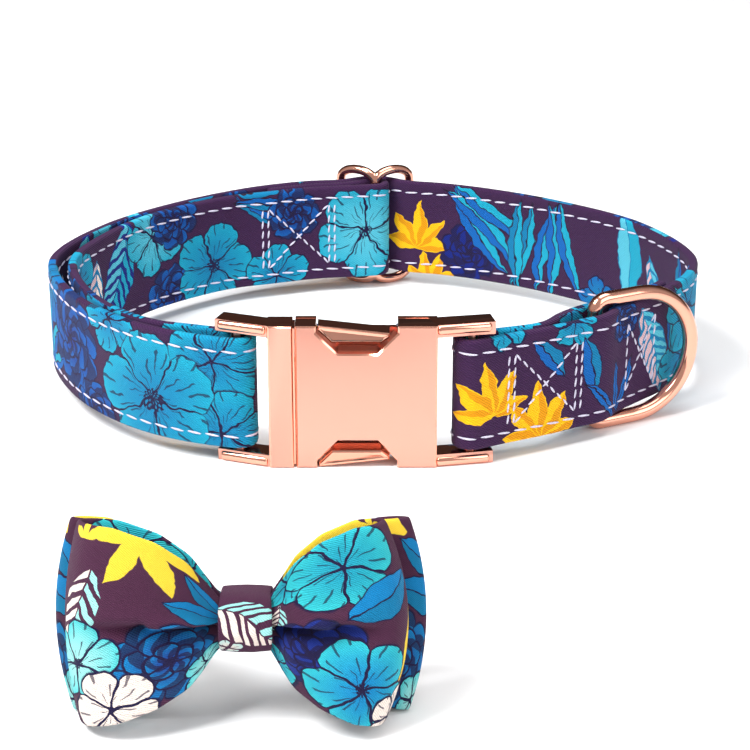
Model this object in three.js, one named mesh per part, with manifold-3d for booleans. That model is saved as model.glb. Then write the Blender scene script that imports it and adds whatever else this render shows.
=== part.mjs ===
// A webbing pet collar with a metal side-release buckle, a slide and a lead ring, and its slip-on bow tie.
// Millimetres, +Z up. The buckle faces -Y and the bow stands in front of it. The origin is on the ground,
// below the middle of the whole.
import * as THREE from 'three';
import { mergeVertices } from 'three/addons/utils/BufferGeometryUtils.js';
import Module from 'manifold-3d';

const wasm = await Module();
wasm.setup();

// Clearance between pieces that lie against each other.
const GAP = 0.3;

// The place of the collar's centre and of the bow's knot, seen from above.
const LOOP_CENTRE = { x: 0.4, y: 49.8 };
const BOW_CENTRE = { x: -21.2, y: -106 };

// The strap is one strip of webbing faced with printed cotton.
const STRAP_WIDTH = 25;
const STRAP_THICK = 2.2;
const LAYER = STRAP_THICK + 0.4;

// All the metal stands this far past both edges of the strap, and rests on the ground.
const EDGE = 3.7;
const METAL_HEIGHT = STRAP_WIDTH + 2 * EDGE;
const MID_HEIGHT = METAL_HEIGHT / 2;

// The outer face of the worn loop, seen from above: how far it reaches from the centre in each direction.
// Turns are degrees from +X, and the rows are evenly spaced.
const LOOP = [
  { turn: 0, reach: 75.5 },
  { turn: 22.5, reach: 70.8 },
  { turn: 45, reach: 64.5 },
  { turn: 67.5, reach: 62.5 },
  { turn: 90, reach: 64 },
  { turn: 112.5, reach: 64.8 },
  { turn: 135, reach: 65.9 },
  { turn: 157.5, reach: 70.8 },
  { turn: 180, reach: 76.3 },
  { turn: 202.5, reach: 72.7 },
  { turn: 225, reach: 67.6 },
  { turn: 247.5, reach: 60.9 },
  { turn: 270, reach: 57.2 },
  { turn: 292.5, reach: 58.8 },
  { turn: 315, reach: 62.2 },
  { turn: 337.5, reach: 72 },
];

// Buckle: x positions from the loop's centre, the front face's y, and the frames' sections.
const BUCKLE = {
  faceY: -56.6,
  thick: 6.6,
  backPlate: 1.2,
  maleLeft: -22.6,
  maleRight: -17.4,
  femaleLeft: -16.8,
  femaleRight: 13.2,
  armHeight: 2.75,
  armDepth: 5,
  bevel: 0.35,
};
const BUCKLE_MID_Y = BUCKLE.faceY + BUCKLE.thick / 2;
const MALE_ARM = { rootX: BUCKLE.maleLeft, side: -1, length: 11.2, lean: 20, barAt: 7 };
const FEMALE_ARM = { rootX: BUCKLE.femaleRight, side: 1, length: 12, lean: 11, barAt: 7.4 };
const BAR_RADIUS = 1.5;
const TONGUE = { length: 13.6, height: 15.2, thick: 2.6 };

// Release levers: the notch that each sits in, and the pin that each turns on. Depths are from the
// buckle's top or bottom edge.
const NOTCH = { left: -12.4, right: 4.8, floorLeft: -7.8, floorRight: 0.5, shoulder: 1.6, depth: 6.2 };
const BACK_NOTCH_DEPTH = 2;
const LEVER_OUTLINE = [
  { x: -12, depth: 0 },
  { x: -12, depth: 1 },
  { x: -9.2, depth: 3.8 },
  { x: 1.4, depth: 3.8 },
  { x: 3.1, depth: 2.6 },
  { x: 3.1, depth: 1.7 },
];
const LEVER_RECESS = 0.4;
const LEVER_PIN = { x: -0.4, depth: 2.7, radius: 0.6, clearance: 0.06, length: 3.4 };

// Lead ring, a D of round wire. Its straight side is held between the strap's layers.
const D_RING = { wire: 1.7, x: 48, y: -36.1, reach: 26, corner: 3, direction: 27 };

// Slide: two rounded loops of wire that share a middle bar, which is set in from the side bars.
const SLIDE = { wire: 1.2, half: 8.9, y: 65.9, barInset: 5, archRise: 2.7 };

// The strap's centre line from its short end inside the right front to its end sewn down inside the
// back. Inset is measured inwards from the loop's outer face.
const OUTER = STRAP_THICK / 2;
const SHORT_END = [
  { turn: -15, inset: 3.8 + LAYER },
  { turn: -20, inset: 4.9 + LAYER },
  { turn: -27, inset: 5.8 + LAYER },
  { turn: -33, inset: 5.9 + LAYER },
  { turn: -39, inset: 8.4 },
  { turn: -45, inset: 6.6 },
  { turn: -51, inset: OUTER + LAYER + 0.3 },
  { turn: -60, inset: OUTER + LAYER + 1 },
];
const LONG_RUN = [
  { turn: -61, inset: OUTER },
  { turn: -51, inset: OUTER },
  { turn: -44, inset: OUTER },
  { turn: -39, inset: OUTER },
  { turn: -34, inset: 3.8 },
  { turn: -27, inset: 5.2 },
  { turn: -19, inset: 4.4 },
  { turn: -9, inset: 2 },
  { turn: 2, inset: OUTER },
  { turn: 22.5, inset: OUTER },
  { turn: 45, inset: OUTER },
  { turn: 62, inset: OUTER },
  { turn: 74, inset: OUTER },
  { turn: 81.5, inset: OUTER + 0.3 },
  { turn: 90, inset: -1.9 },
  { turn: 98.5, inset: OUTER + 0.3 },
  { turn: 106, inset: OUTER },
  { turn: 120, inset: OUTER },
  { turn: 140, inset: OUTER },
  { turn: 160, inset: OUTER },
  { turn: 180, inset: OUTER },
  { turn: 200, inset: OUTER },
  { turn: 217, inset: OUTER },
  { turn: 230, inset: OUTER },
];
const INNER_LEFT = [
  { turn: 232, inset: 6.2 },
  { turn: 222, inset: 4.4 },
  { turn: 210, inset: 4.2 },
  { turn: 195, inset: 5.2 },
  { turn: 180, inset: 5.8 },
  { turn: 165, inset: 5.4 },
  { turn: 150, inset: 4.3 },
  { turn: 135, inset: 4.1 },
  { turn: 126, inset: 4.8 },
  { turn: 118, inset: OUTER + 2 * LAYER + 0.2 },
  { turn: 106, inset: OUTER + 2 * LAYER + 0.4 },
  { turn: 97, inset: OUTER + 2 * LAYER + 0.4 },
];
const SEWN_END = [
  { turn: 98, inset: OUTER + LAYER + 0.1 },
  { turn: 106, inset: OUTER + LAYER + 0.1 },
  { turn: 117, inset: OUTER + LAYER + 0.1 },
];

// Bow: two bows of cloth, one behind the other, gathered by a knot band, with two elastic loops behind.
const CLOTH = 1.2;
const BOW_LEAN = 15;
const BOW_MID_HEIGHT = 17.24;
const BOW_FRONT = {
  front: [2, 2.2, 4.6, 6.4, 6.8, 5.2],
  back: [2, 2, 2.1, 2.2, 2.1, 1.5],
  setBack: 0,
  tip: 0.6,
  crease: 2.4,
  left: { reach: 30.2, pull: 0.08 },
  right: { reach: 27.2, pull: 0.15 },
  outline: [
    { along: 0.19, top: 3.4, bottom: 3.4 },
    { along: 0.225, top: 6.4, bottom: 6.8 },
    { along: 0.32, top: 10.6, bottom: 10.4 },
    { along: 0.5, top: 14.4, bottom: 13.6 },
    { along: 0.75, top: 16.9, bottom: 16.2 },
    { along: 1, top: 17.5, bottom: 17.2 },
  ],
};
const BOW_BACK = {
  front: [1.3, 1.3, 1.5, 1.6, 1.6, 1.4],
  back: [1.3, 1.3, 1.6, 1.8, 2, 1.8],
  setBack: 4.1,
  tip: 0,
  crease: 0,
  left: { reach: 32.6, pull: 0.09 },
  right: { reach: 30.4, pull: 0.1 },
  outline: [
    { along: 0.19, top: 3.4, bottom: 3.4 },
    { along: 0.225, top: 5.8, bottom: 6 },
    { along: 0.35, top: 10.4, bottom: 10 },
    { along: 0.55, top: 14.4, bottom: 13.2 },
    { along: 0.78, top: 16.6, bottom: 15.6 },
    { along: 1, top: 17, bottom: 16.6 },
  ],
};
// How far along a lobe each entry of front and back is measured.
const LOBE_STATIONS = [0, 0.19, 0.3, 0.52, 0.74, 0.92];
const KNOT = { width: 9, halfHeight: 5.35, wall: 1.4, front: 4, back: 7.6 };
const ELASTIC = { width: 8, slot: 25.6, slotDepth: 5.6, wall: 1.2, offset: 21, front: 6.6 };

const ROSE_GOLD = { color: 0xe9a890, metalness: 1, roughness: 0.22 };
const PRINTED_CLOTH = { color: 0x2a6f9c, metalness: 0, roughness: 0.85 };
const PLUM_CLOTH = { color: 0x3a1c44, metalness: 0, roughness: 0.85 };
const ELASTIC_WEB = { color: 0x1b1720, metalness: 0, roughness: 0.9 };

// --- Helpers -----------------------------------------------------------------------------------

function solid(geometry) {
  const bare = geometry.clone();
  bare.deleteAttribute('normal');
  bare.deleteAttribute('uv');
  const merged = mergeVertices(bare, 1e-4);
  return new wasm.Manifold(
    new wasm.Mesh({
      numProp: 3,
      vertProperties: Float32Array.from(merged.attributes.position.array),
      triVerts: Uint32Array.from(merged.index.array),
    }),
  );
}

function fromSolid(manifold) {
  const mesh = manifold.getMesh();
  const geometry = new THREE.BufferGeometry();
  geometry.setAttribute('position', new THREE.BufferAttribute(mesh.vertProperties, 3));
  geometry.setIndex(new THREE.BufferAttribute(mesh.triVerts, 1));
  geometry.computeVertexNormals();
  return geometry;
}

function joined(...geometries) {
  return fromSolid(wasm.Manifold.union(geometries.map(solid)));
}

function cut(geometry, ...tools) {
  return fromSolid(solid(geometry).subtract(wasm.Manifold.union(tools.map(solid))));
}

// A plate whose outline is drawn in X and Z, from its front face at y to y + thick.
function plate(outline, y, thick, bevel = 0) {
  const geometry = new THREE.ExtrudeGeometry(new THREE.Shape(outline), {
    depth: thick - 2 * bevel,
    bevelEnabled: bevel > 0,
    bevelThickness: bevel,
    bevelSize: bevel,
    bevelOffset: -bevel,
    bevelSegments: 1,
  });
  geometry.rotateX(Math.PI / 2);
  geometry.translate(0, y + thick - bevel, 0);
  return geometry;
}

function block(left, right, y, thick, bottom, top, bevel = 0) {
  const corners = [
    [left, bottom],
    [right, bottom],
    [right, top],
    [left, top],
  ];
  return plate(corners.map(([x, z]) => new THREE.Vector2(x, z)), y, thick, bevel);
}

// A round bar along Z or along Y.
function bar(radius, x, y, bottom, top) {
  const geometry = new THREE.CylinderGeometry(radius, radius, top - bottom, 24);
  geometry.rotateX(Math.PI / 2);
  geometry.translate(x, y, (top + bottom) / 2);
  return geometry;
}

function pin(radius, x, front, back, z) {
  const geometry = new THREE.CylinderGeometry(radius, radius, back - front, 20);
  geometry.translate(x, (front + back) / 2, z);
  return geometry;
}

// Round wire along a path.
function wire(path, radius, steps) {
  const section = new THREE.Shape();
  section.absarc(0, 0, radius, 0, 2 * Math.PI);
  return new THREE.ExtrudeGeometry(section, { steps, curveSegments: 6, extrudePath: path });
}

function piece(name, geometry, finish) {
  const mesh = new THREE.Mesh(geometry, new THREE.MeshStandardMaterial(finish));
  mesh.name = name;
  return mesh;
}

// --- Strap -------------------------------------------------------------------------------------

const loopCurve = new THREE.CatmullRomCurve3(
  LOOP.map(({ turn, reach }) => {
    const angle = THREE.MathUtils.degToRad(turn);
    return new THREE.Vector3(reach * Math.cos(angle), reach * Math.sin(angle), 0);
  }),
  true,
);

function station({ turn, inset }) {
  const along = THREE.MathUtils.euclideanModulo(turn, 360) / 360;
  const tangent = loopCurve.getTangent(along);
  const inward = new THREE.Vector3(-tangent.y, tangent.x, 0);
  return loopCurve.getPoint(along).addScaledVector(inward, inset);
}

// Half a turn of the strap round a bar, from one plan angle to another.
function foldRound(centre, barRadius, fromAngle, toAngle) {
  const radius = barRadius + GAP + STRAP_THICK / 2;
  const steps = 8;
  const points = [];
  for (let i = 0; i <= steps; i += 1) {
    const angle = THREE.MathUtils.degToRad(fromAngle + ((toAngle - fromAngle) * i) / steps);
    points.push(new THREE.Vector3(centre.x + radius * Math.cos(angle), centre.y + radius * Math.sin(angle), 0));
  }
  return points;
}

function barPlace({ rootX, side, lean, barAt }) {
  const angle = THREE.MathUtils.degToRad(lean);
  return { x: rootX + side * barAt * Math.cos(angle), y: BUCKLE_MID_Y + barAt * Math.sin(angle) };
}

const MALE_BAR = barPlace(MALE_ARM);
const FEMALE_BAR = barPlace(FEMALE_ARM);
const SLIDE_BAR = { x: 0, y: SLIDE.y - SLIDE.barInset };

function strapCentreLine() {
  const points = [
    ...SHORT_END.map(station),
    ...foldRound(FEMALE_BAR, BAR_RADIUS, 80, 280),
    ...LONG_RUN.map(station),
    ...foldRound(MALE_BAR, BAR_RADIUS, -100, 100),
    ...INNER_LEFT.map(station),
    ...foldRound(SLIDE_BAR, SLIDE.wire, -90, 95),
    ...SEWN_END.map(station),
  ];
  return new THREE.CatmullRomCurve3(points, false);
}

function strap() {
  const line = strapCentreLine();
  const samples = (line.points.length - 1) * 5;
  const left = [];
  const right = [];
  for (let i = 0; i <= samples; i += 1) {
    const point = line.getPoint(i / samples);
    const tangent = line.getTangent(i / samples);
    const side = new THREE.Vector2(-tangent.y, tangent.x).multiplyScalar(STRAP_THICK / 2);
    left.push(new THREE.Vector2(point.x + side.x, point.y + side.y));
    right.push(new THREE.Vector2(point.x - side.x, point.y - side.y));
  }
  const outline = new THREE.Shape([...left, ...right.reverse()]);
  const geometry = new THREE.ExtrudeGeometry(outline, { depth: STRAP_WIDTH, bevelEnabled: false });
  geometry.translate(0, 0, EDGE);
  return piece('strap', geometry, PRINTED_CLOTH);
}

// --- Buckle ------------------------------------------------------------------------------------

// The two arms that carry a frame's strap bar, and the bar.
function armsAndBar(arm, place) {
  const angle = THREE.MathUtils.degToRad(arm.lean);
  const overlap = 1.5;
  const arms = [0, METAL_HEIGHT - BUCKLE.armHeight].map((bottom) => {
    const geometry = new THREE.BoxGeometry(arm.length + overlap, BUCKLE.armDepth, BUCKLE.armHeight);
    geometry.translate((arm.side * (arm.length - overlap)) / 2, 0, bottom + BUCKLE.armHeight / 2);
    geometry.rotateZ(arm.side * angle);
    geometry.translate(arm.rootX, BUCKLE_MID_Y, 0);
    return geometry;
  });
  return [...arms, bar(BAR_RADIUS, place.x, place.y, 1, METAL_HEIGHT - 1)];
}

function maleFrame() {
  const body = block(
    BUCKLE.maleLeft, BUCKLE.maleRight, BUCKLE.faceY, BUCKLE.thick, 0, METAL_HEIGHT, BUCKLE.bevel,
  );
  const tongue = block(
    BUCKLE.maleRight - 1, BUCKLE.maleRight + TONGUE.length, BUCKLE_MID_Y - TONGUE.thick / 2, TONGUE.thick,
    MID_HEIGHT - TONGUE.height / 2, MID_HEIGHT + TONGUE.height / 2,
  );
  return piece('male_frame', joined(body, tongue, ...armsAndBar(MALE_ARM, MALE_BAR)), ROSE_GOLD);
}

// The female frame's outline with a notch of the given depth in its top and bottom edges.
function notchedOutline(depth) {
  const scale = (depth - NOTCH.shoulder) / (NOTCH.depth - NOTCH.shoulder);
  const floorLeft = NOTCH.left + (NOTCH.floorLeft - NOTCH.left) * scale;
  const floorRight = NOTCH.right + (NOTCH.floorRight - NOTCH.right) * scale;
  const edge = [
    [BUCKLE.femaleLeft, 0],
    [NOTCH.left, 0],
    [NOTCH.left, NOTCH.shoulder],
    [floorLeft, depth],
    [floorRight, depth],
    [NOTCH.right, NOTCH.shoulder],
    [NOTCH.right, 0],
    [BUCKLE.femaleRight, 0],
  ];
  const bottom = edge.map(([x, inset]) => new THREE.Vector2(x, inset));
  const top = edge.map(([x, inset]) => new THREE.Vector2(x, METAL_HEIGHT - inset)).reverse();
  return [...bottom, ...top];
}

function femaleFrame() {
  const backY = BUCKLE.faceY + BUCKLE.thick - BUCKLE.backPlate;
  const body = plate(
    notchedOutline(NOTCH.depth), BUCKLE.faceY, BUCKLE.thick - BUCKLE.backPlate + 0.1, BUCKLE.bevel,
  );
  const backPlate = plate(notchedOutline(BACK_NOTCH_DEPTH), backY - 0.1, BUCKLE.backPlate + 0.1);
  const pins = [LEVER_PIN.depth, METAL_HEIGHT - LEVER_PIN.depth].map((z) =>
    pin(LEVER_PIN.radius, LEVER_PIN.x, backY - LEVER_PIN.length, backY + 0.4, z),
  );
  const pocket = block(
    BUCKLE.femaleLeft - 1, BUCKLE.maleRight + TONGUE.length + GAP, BUCKLE_MID_Y - TONGUE.thick / 2 - GAP,
    TONGUE.thick + 2 * GAP, MID_HEIGHT - TONGUE.height / 2 - GAP, MID_HEIGHT + TONGUE.height / 2 + GAP,
  );
  const frame = joined(body, backPlate, ...pins, ...armsAndBar(FEMALE_ARM, FEMALE_BAR));
  return piece('female_frame', cut(frame, pocket), ROSE_GOLD);
}

// A release lever; the lower one is the upper one turned over.
function lever(name, height) {
  const outline = LEVER_OUTLINE.map(({ x, depth }) => new THREE.Vector2(x, height(depth)));
  const front = BUCKLE.faceY + LEVER_RECESS;
  const back = BUCKLE.faceY + BUCKLE.thick - BUCKLE.backPlate - GAP;
  const body = plate(outline, front, back - front, BUCKLE.bevel);
  const hole = pin(
    LEVER_PIN.radius + LEVER_PIN.clearance, LEVER_PIN.x, back + GAP - LEVER_PIN.length - GAP, back + 1,
    height(LEVER_PIN.depth),
  );
  return piece(name, cut(body, hole), ROSE_GOLD);
}

// --- Lead ring and slide -----------------------------------------------------------------------

function leadRing() {
  const half = MID_HEIGHT - D_RING.wire;
  const { corner, reach } = D_RING;
  const bend = reach - half;
  const path = new THREE.CurvePath();
  const at = (x, z) => new THREE.Vector3(x, 0, z);
  const middle = at(0, 0);
  path.add(new THREE.LineCurve3(middle, at(0, half - corner)));
  path.add(new THREE.QuadraticBezierCurve3(at(0, half - corner), at(0, half), at(corner, half)));
  path.add(new THREE.LineCurve3(at(corner, half), at(bend, half)));
  const arc = [];
  const arcSteps = 16;
  for (let i = 0; i <= arcSteps; i += 1) {
    const angle = Math.PI / 2 - (Math.PI * i) / arcSteps;
    arc.push(at(bend + half * Math.cos(angle), half * Math.sin(angle)));
  }
  path.add(new THREE.CatmullRomCurve3(arc));
  path.add(new THREE.LineCurve3(at(bend, -half), at(corner, -half)));
  path.add(new THREE.QuadraticBezierCurve3(at(corner, -half), at(0, -half), at(0, corner - half)));
  path.add(new THREE.LineCurve3(at(0, corner - half), middle));
  const join = new THREE.SphereGeometry(D_RING.wire, 16, 12);
  const ring = piece('lead_ring', joined(wire(path, D_RING.wire, 96), join), ROSE_GOLD);
  ring.rotation.z = THREE.MathUtils.degToRad(D_RING.direction);
  ring.position.set(D_RING.x, D_RING.y, MID_HEIGHT);
  return ring;
}

// One loop of the slide, from the top of the middle bar round the side bar to the bottom of the middle bar.
function slideLoop(side) {
  const half = MID_HEIGHT - SLIDE.wire;
  const round = SLIDE.half / 2;
  const points = [];
  const arcSteps = 8;
  for (const end of [1, -1]) {
    for (let i = 0; i <= arcSteps; i += 1) {
      const angle = (Math.PI * i) / arcSteps;
      const across = round * (1 - end * Math.cos(angle));
      const inset = SLIDE.barInset * (1 - across / SLIDE.half);
      const z = end * (half - SLIDE.archRise * (1 - Math.sin(angle)));
      points.push(new THREE.Vector3(side * across, -inset, z));
    }
  }
  return new THREE.CatmullRomCurve3(points);
}

function slide() {
  const half = MID_HEIGHT - SLIDE.wire;
  const loops = [-1, 1].map((side) => wire(slideLoop(side), SLIDE.wire, 56));
  const barEnd = half - SLIDE.archRise;
  const middle = bar(SLIDE.wire, 0, -SLIDE.barInset, -barEnd, barEnd);
  const ends = [-1, 1].map((end) => {
    const ball = new THREE.SphereGeometry(SLIDE.wire, 24, 12);
    ball.translate(0, -SLIDE.barInset, end * barEnd);
    return ball;
  });
  const mesh = piece('slide', joined(...loops, middle, ...ends), ROSE_GOLD);
  mesh.position.set(0, SLIDE.y, MID_HEIGHT);
  return mesh;
}

// --- Bow ---------------------------------------------------------------------------------------
// The bow's own frame: X across, Z up, and -Y towards the viewer, with the knot at its centre.

// Interpolates a table's column by how far along the lobe the place is.
function column(rows, name, along) {
  const last = rows[rows.length - 1];
  if (along >= last.along) {
    return last[name];
  }
  const next = Math.max(1, rows.findIndex((row) => row.along > along));
  const before = rows[next - 1];
  const after = rows[next];
  const part = Math.max(0, along - before.along) / (after.along - before.along);
  return THREE.MathUtils.lerp(before[name], after[name], part);
}

// One lobe's section seen from above, less a wall, from the given station outwards. The run is open
// towards the knot.
function lobeSection(bow, side, reach, first, wall) {
  const row = (values, sign) =>
    LOBE_STATIONS.map((along, i) => {
      const depth = values[i] - wall;
      return new THREE.Vector3(side * along * reach, bow.setBack + sign * depth, 0);
    }).slice(first);
  const tip = new THREE.Vector3(side * (reach - wall), bow.setBack - bow.tip, 0);
  const points = [...row(bow.front, -1), tip, ...row(bow.back, 1).reverse()];
  const run = new THREE.CatmullRomCurve3(side > 0 ? points : points.reverse());
  return run.getPoints(4 * (points.length - 1)).map(({ x, y }) => new THREE.Vector2(x, y));
}

// One lobe: a loop of cloth, open above and below, whose height and dents follow the bow's table.
function lobe(bow, side, { reach, pull }) {
  const shape = new THREE.Shape(lobeSection(bow, side, reach, 1, 0));
  shape.holes = [new THREE.Path(lobeSection(bow, side, reach, 2, CLOTH))];
  const geometry = new THREE.ExtrudeGeometry(shape, { depth: 1, steps: 8, bevelEnabled: false });
  const place = geometry.attributes.position;
  for (let i = 0; i < place.count; i += 1) {
    const along = Math.min(1, Math.abs(place.getX(i)) / reach);
    const top = column(bow.outline, 'top', along);
    const bottom = column(bow.outline, 'bottom', along);
    const z = THREE.MathUtils.lerp(-bottom, top, place.getZ(i));
    const corner = (2 * place.getZ(i) - 1) ** 2;
    const facing = THREE.MathUtils.smoothstep(bow.setBack - place.getY(i), 0, 3);
    const dent = bow.crease * facing * Math.exp(-((z / 2.4) ** 2)) * Math.sin(Math.PI * along ** 0.7);
    place.setXYZ(i, place.getX(i) * (1 - pull * corner * along), place.getY(i) + dent, z);
  }
  return geometry;
}

function clothBow(name, bow, finish) {
  const waist = bow.outline[0];
  const [front, back] = [bow.front[0], bow.back[0]];
  const middle = block(
    -bow.left.reach * LOBE_STATIONS[1] - 0.1, bow.right.reach * LOBE_STATIONS[1] + 0.1,
    bow.setBack - front, front + back, -waist.bottom, waist.top,
  );
  return piece(name, joined(lobe(bow, -1, bow.left), middle, lobe(bow, 1, bow.right)), finish);
}

// A band that runs round the bow in Y and Z: its outline and hole, extruded across.
function band(name, width, outer, wall, corner, x, finish) {
  const ring = (inset, path) => {
    const radius = corner - 0.7 * inset;
    const [front, back, bottom, top] = [
      outer.front + inset, outer.back - inset, outer.bottom + inset, outer.top - inset,
    ];
    path.moveTo(front + radius, bottom);
    path.lineTo(back - radius, bottom);
    path.absarc(back - radius, bottom + radius, radius, -Math.PI / 2, 0);
    path.lineTo(back, top - radius);
    path.absarc(back - radius, top - radius, radius, 0, Math.PI / 2);
    path.lineTo(front + radius, top);
    path.absarc(front + radius, top - radius, radius, Math.PI / 2, Math.PI);
    path.lineTo(front, bottom + radius);
    path.absarc(front + radius, bottom + radius, radius, Math.PI, 1.5 * Math.PI);
    return path;
  };
  const shape = ring(0, new THREE.Shape());
  shape.holes = [ring(wall, new THREE.Path())];
  const geometry = new THREE.ExtrudeGeometry(shape, { depth: width, bevelEnabled: false, curveSegments: 6 });
  geometry.rotateY(Math.PI / 2);
  geometry.rotateX(Math.PI / 2);
  geometry.translate(x - width / 2, 0, 0);
  return piece(name, geometry, finish);
}

function bowTie() {
  const knot = { front: -KNOT.front, back: KNOT.back, bottom: -KNOT.halfHeight, top: KNOT.halfHeight };
  const elasticHalf = ELASTIC.slot / 2 + ELASTIC.wall;
  const elastic = {
    front: ELASTIC.front,
    back: ELASTIC.front + ELASTIC.slotDepth + 2 * ELASTIC.wall,
    bottom: -elasticHalf,
    top: elasticHalf,
  };
  const group = new THREE.Group();
  group.add(
    clothBow('bow_front', BOW_FRONT, PRINTED_CLOTH),
    clothBow('bow_back', BOW_BACK, PLUM_CLOTH),
    band('bow_knot', KNOT.width, knot, KNOT.wall, 2.2, 0, PLUM_CLOTH),
    band('elastic_left', ELASTIC.width, elastic, ELASTIC.wall, 2, -ELASTIC.offset, ELASTIC_WEB),
    band('elastic_right', ELASTIC.width, elastic, ELASTIC.wall, 2, ELASTIC.offset, ELASTIC_WEB),
  );
  group.rotation.x = -THREE.MathUtils.degToRad(BOW_LEAN);
  group.position.set(BOW_CENTRE.x, BOW_CENTRE.y, BOW_MID_HEIGHT);
  return group;
}

// --- The whole ---------------------------------------------------------------------------------

function collar() {
  const group = new THREE.Group();
  group.add(
    strap(),
    maleFrame(),
    femaleFrame(),
    lever('lever_top', (depth) => METAL_HEIGHT - depth),
    lever('lever_bottom', (depth) => depth),
    leadRing(),
    slide(),
  );
  group.position.set(LOOP_CENTRE.x, LOOP_CENTRE.y, 0);
  return group;
}

const part = new THREE.Group();
part.add(collar(), bowTie());

export default part;
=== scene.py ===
"""A printed webbing pet collar and its slip-on bow tie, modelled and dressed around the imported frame.

Sizes are millimetres in the classes and metres in the meshes. +Z is up and the buckle faces -Y.
"""

import logging
import math
from collections.abc import Callable, Mapping, Sequence
from dataclasses import dataclass, field, replace
from enum import Enum

import bpy
import numpy as np
from mathutils import Matrix, Vector


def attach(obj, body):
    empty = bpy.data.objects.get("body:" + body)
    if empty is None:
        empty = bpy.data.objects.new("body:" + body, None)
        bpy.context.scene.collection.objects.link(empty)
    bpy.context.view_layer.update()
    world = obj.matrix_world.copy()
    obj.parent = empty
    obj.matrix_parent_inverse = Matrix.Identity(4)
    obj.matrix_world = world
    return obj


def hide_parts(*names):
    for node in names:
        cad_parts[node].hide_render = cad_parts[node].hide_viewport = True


MM = 0.001
LOG = logging.getLogger("collar")

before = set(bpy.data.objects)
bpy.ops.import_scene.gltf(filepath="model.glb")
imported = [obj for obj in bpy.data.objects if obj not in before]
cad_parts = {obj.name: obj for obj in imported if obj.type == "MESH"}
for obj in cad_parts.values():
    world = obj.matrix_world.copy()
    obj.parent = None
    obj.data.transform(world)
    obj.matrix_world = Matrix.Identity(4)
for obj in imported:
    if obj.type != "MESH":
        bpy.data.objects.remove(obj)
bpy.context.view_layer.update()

Value = float | tuple | bpy.types.NodeSocket
Point = tuple[float, float, float]


class Side(Enum):
    """The two faces of the strap, and which way each looks across the flat strip."""

    PRINT_OUT = -1
    PRINT_IN = 1


def linear(red: int, green: int, blue: int) -> tuple[float, float, float, float]:
    """Turns a display colour into the linear one that shaders take.

    Args:
        red: Red, 0 to 255.
        green: Green, 0 to 255.
        blue: Blue, 0 to 255.

    Returns:
        The colour as linear red, green, blue and an alpha of 1.
    """
    parts = [c / 255 for c in (red, green, blue)]
    light = [c / 12.92 if c <= 0.04045 else ((c + 0.055) / 1.055) ** 2.4 for c in parts]
    return (light[0], light[1], light[2], 1.0)


PLUM = linear(56, 26, 66)
DARK_PLUM = linear(30, 12, 40)
CYAN = linear(14, 162, 192)
DEEP_CYAN = linear(0, 120, 168)
BLUE = linear(0, 96, 176)
NAVY = linear(8, 30, 120)
INK = linear(22, 14, 58)
YELLOW = linear(250, 190, 10)
AMBER = linear(226, 150, 0)
PALE_BLUE = linear(84, 188, 210)
PINK = linear(214, 180, 186)
TURQUOISE = linear(50, 196, 202)
TEAL = linear(20, 150, 176)
MINT = linear(160, 226, 222)
CREAM = linear(244, 228, 218)
BOW_PLUM = linear(74, 34, 62)
BOW_BLUE = linear(0, 128, 190)
BOW_NAVY = linear(22, 44, 130)
BOW_YELLOW = linear(252, 214, 60)


# --- Workbench: what every piece is made with ---------------------------------------------------


def activate(piece: bpy.types.Object) -> None:
    """Selects one piece alone and makes it active.

    Args:
        piece: The object to work on.
    """
    bpy.ops.object.select_all(action="DESELECT")
    piece.hide_set(False)
    piece.select_set(True)
    bpy.context.view_layer.objects.active = piece


def apply_modifiers(piece: bpy.types.Object) -> None:
    """Applies all of a piece's modifiers in order.

    Args:
        piece: The object whose modifiers are applied.
    """
    activate(piece)
    for modifier in list(piece.modifiers):
        bpy.ops.object.modifier_apply(modifier=modifier.name)


def settle(piece: bpy.types.Object) -> None:
    """Moves a piece's place, turn and scale into its mesh.

    Args:
        piece: The object to settle.
    """
    activate(piece)
    bpy.ops.object.transform_apply(location=True, rotation=True, scale=True)


def smooth(piece: bpy.types.Object, degrees: float) -> None:
    """Shades a piece smooth, apart from the edges sharper than an angle.

    Args:
        piece: The object to shade.
        degrees: The angle, in degrees, past which an edge stays sharp.
    """
    activate(piece)
    bpy.ops.object.shade_smooth_by_angle(angle=math.radians(degrees))


def join(name: str, pieces: Sequence[bpy.types.Object]) -> bpy.types.Object:
    """Joins several meshes into one.

    Args:
        name: The joined object's name.
        pieces: The objects to join.

    Returns:
        The joined object.
    """
    activate(pieces[0])
    for piece in pieces[1:]:
        piece.select_set(True)
    bpy.ops.object.join()
    joined = bpy.context.view_layer.objects.active
    joined.name = name
    return joined


def shape(piece: bpy.types.Object, move: Callable[[Vector], Point]) -> None:
    """Moves each point of a mesh to where a function says.

    Args:
        piece: The object, whose points are in metres.
        move: Takes a point in millimetres and returns its new place in millimetres.
    """
    for vertex in piece.data.vertices:
        vertex.co = Vector(move(vertex.co / MM)) * MM


def flat_grid(name: str, width: float, height: float, columns: int, rows: int) -> bpy.types.Object:
    """Adds a flat grid that stands in the X-Z plane, with a UV map in millimetres.

    Args:
        name: The object's name.
        width: Its size along X, in millimetres.
        height: Its size along Z, in millimetres.
        columns: How many cells it has along X.
        rows: How many cells it has along Z.

    Returns:
        The grid, centred on the origin.
    """
    bpy.ops.object.select_all(action="DESELECT")
    bpy.ops.mesh.primitive_grid_add(x_subdivisions=columns, y_subdivisions=rows, size=1)
    grid = bpy.context.active_object
    grid.name = name
    grid.scale = (width * MM, height * MM, 1)
    grid.rotation_euler = (math.pi / 2, 0, 0)
    settle(grid)
    chart_flat(grid)
    return grid


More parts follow.
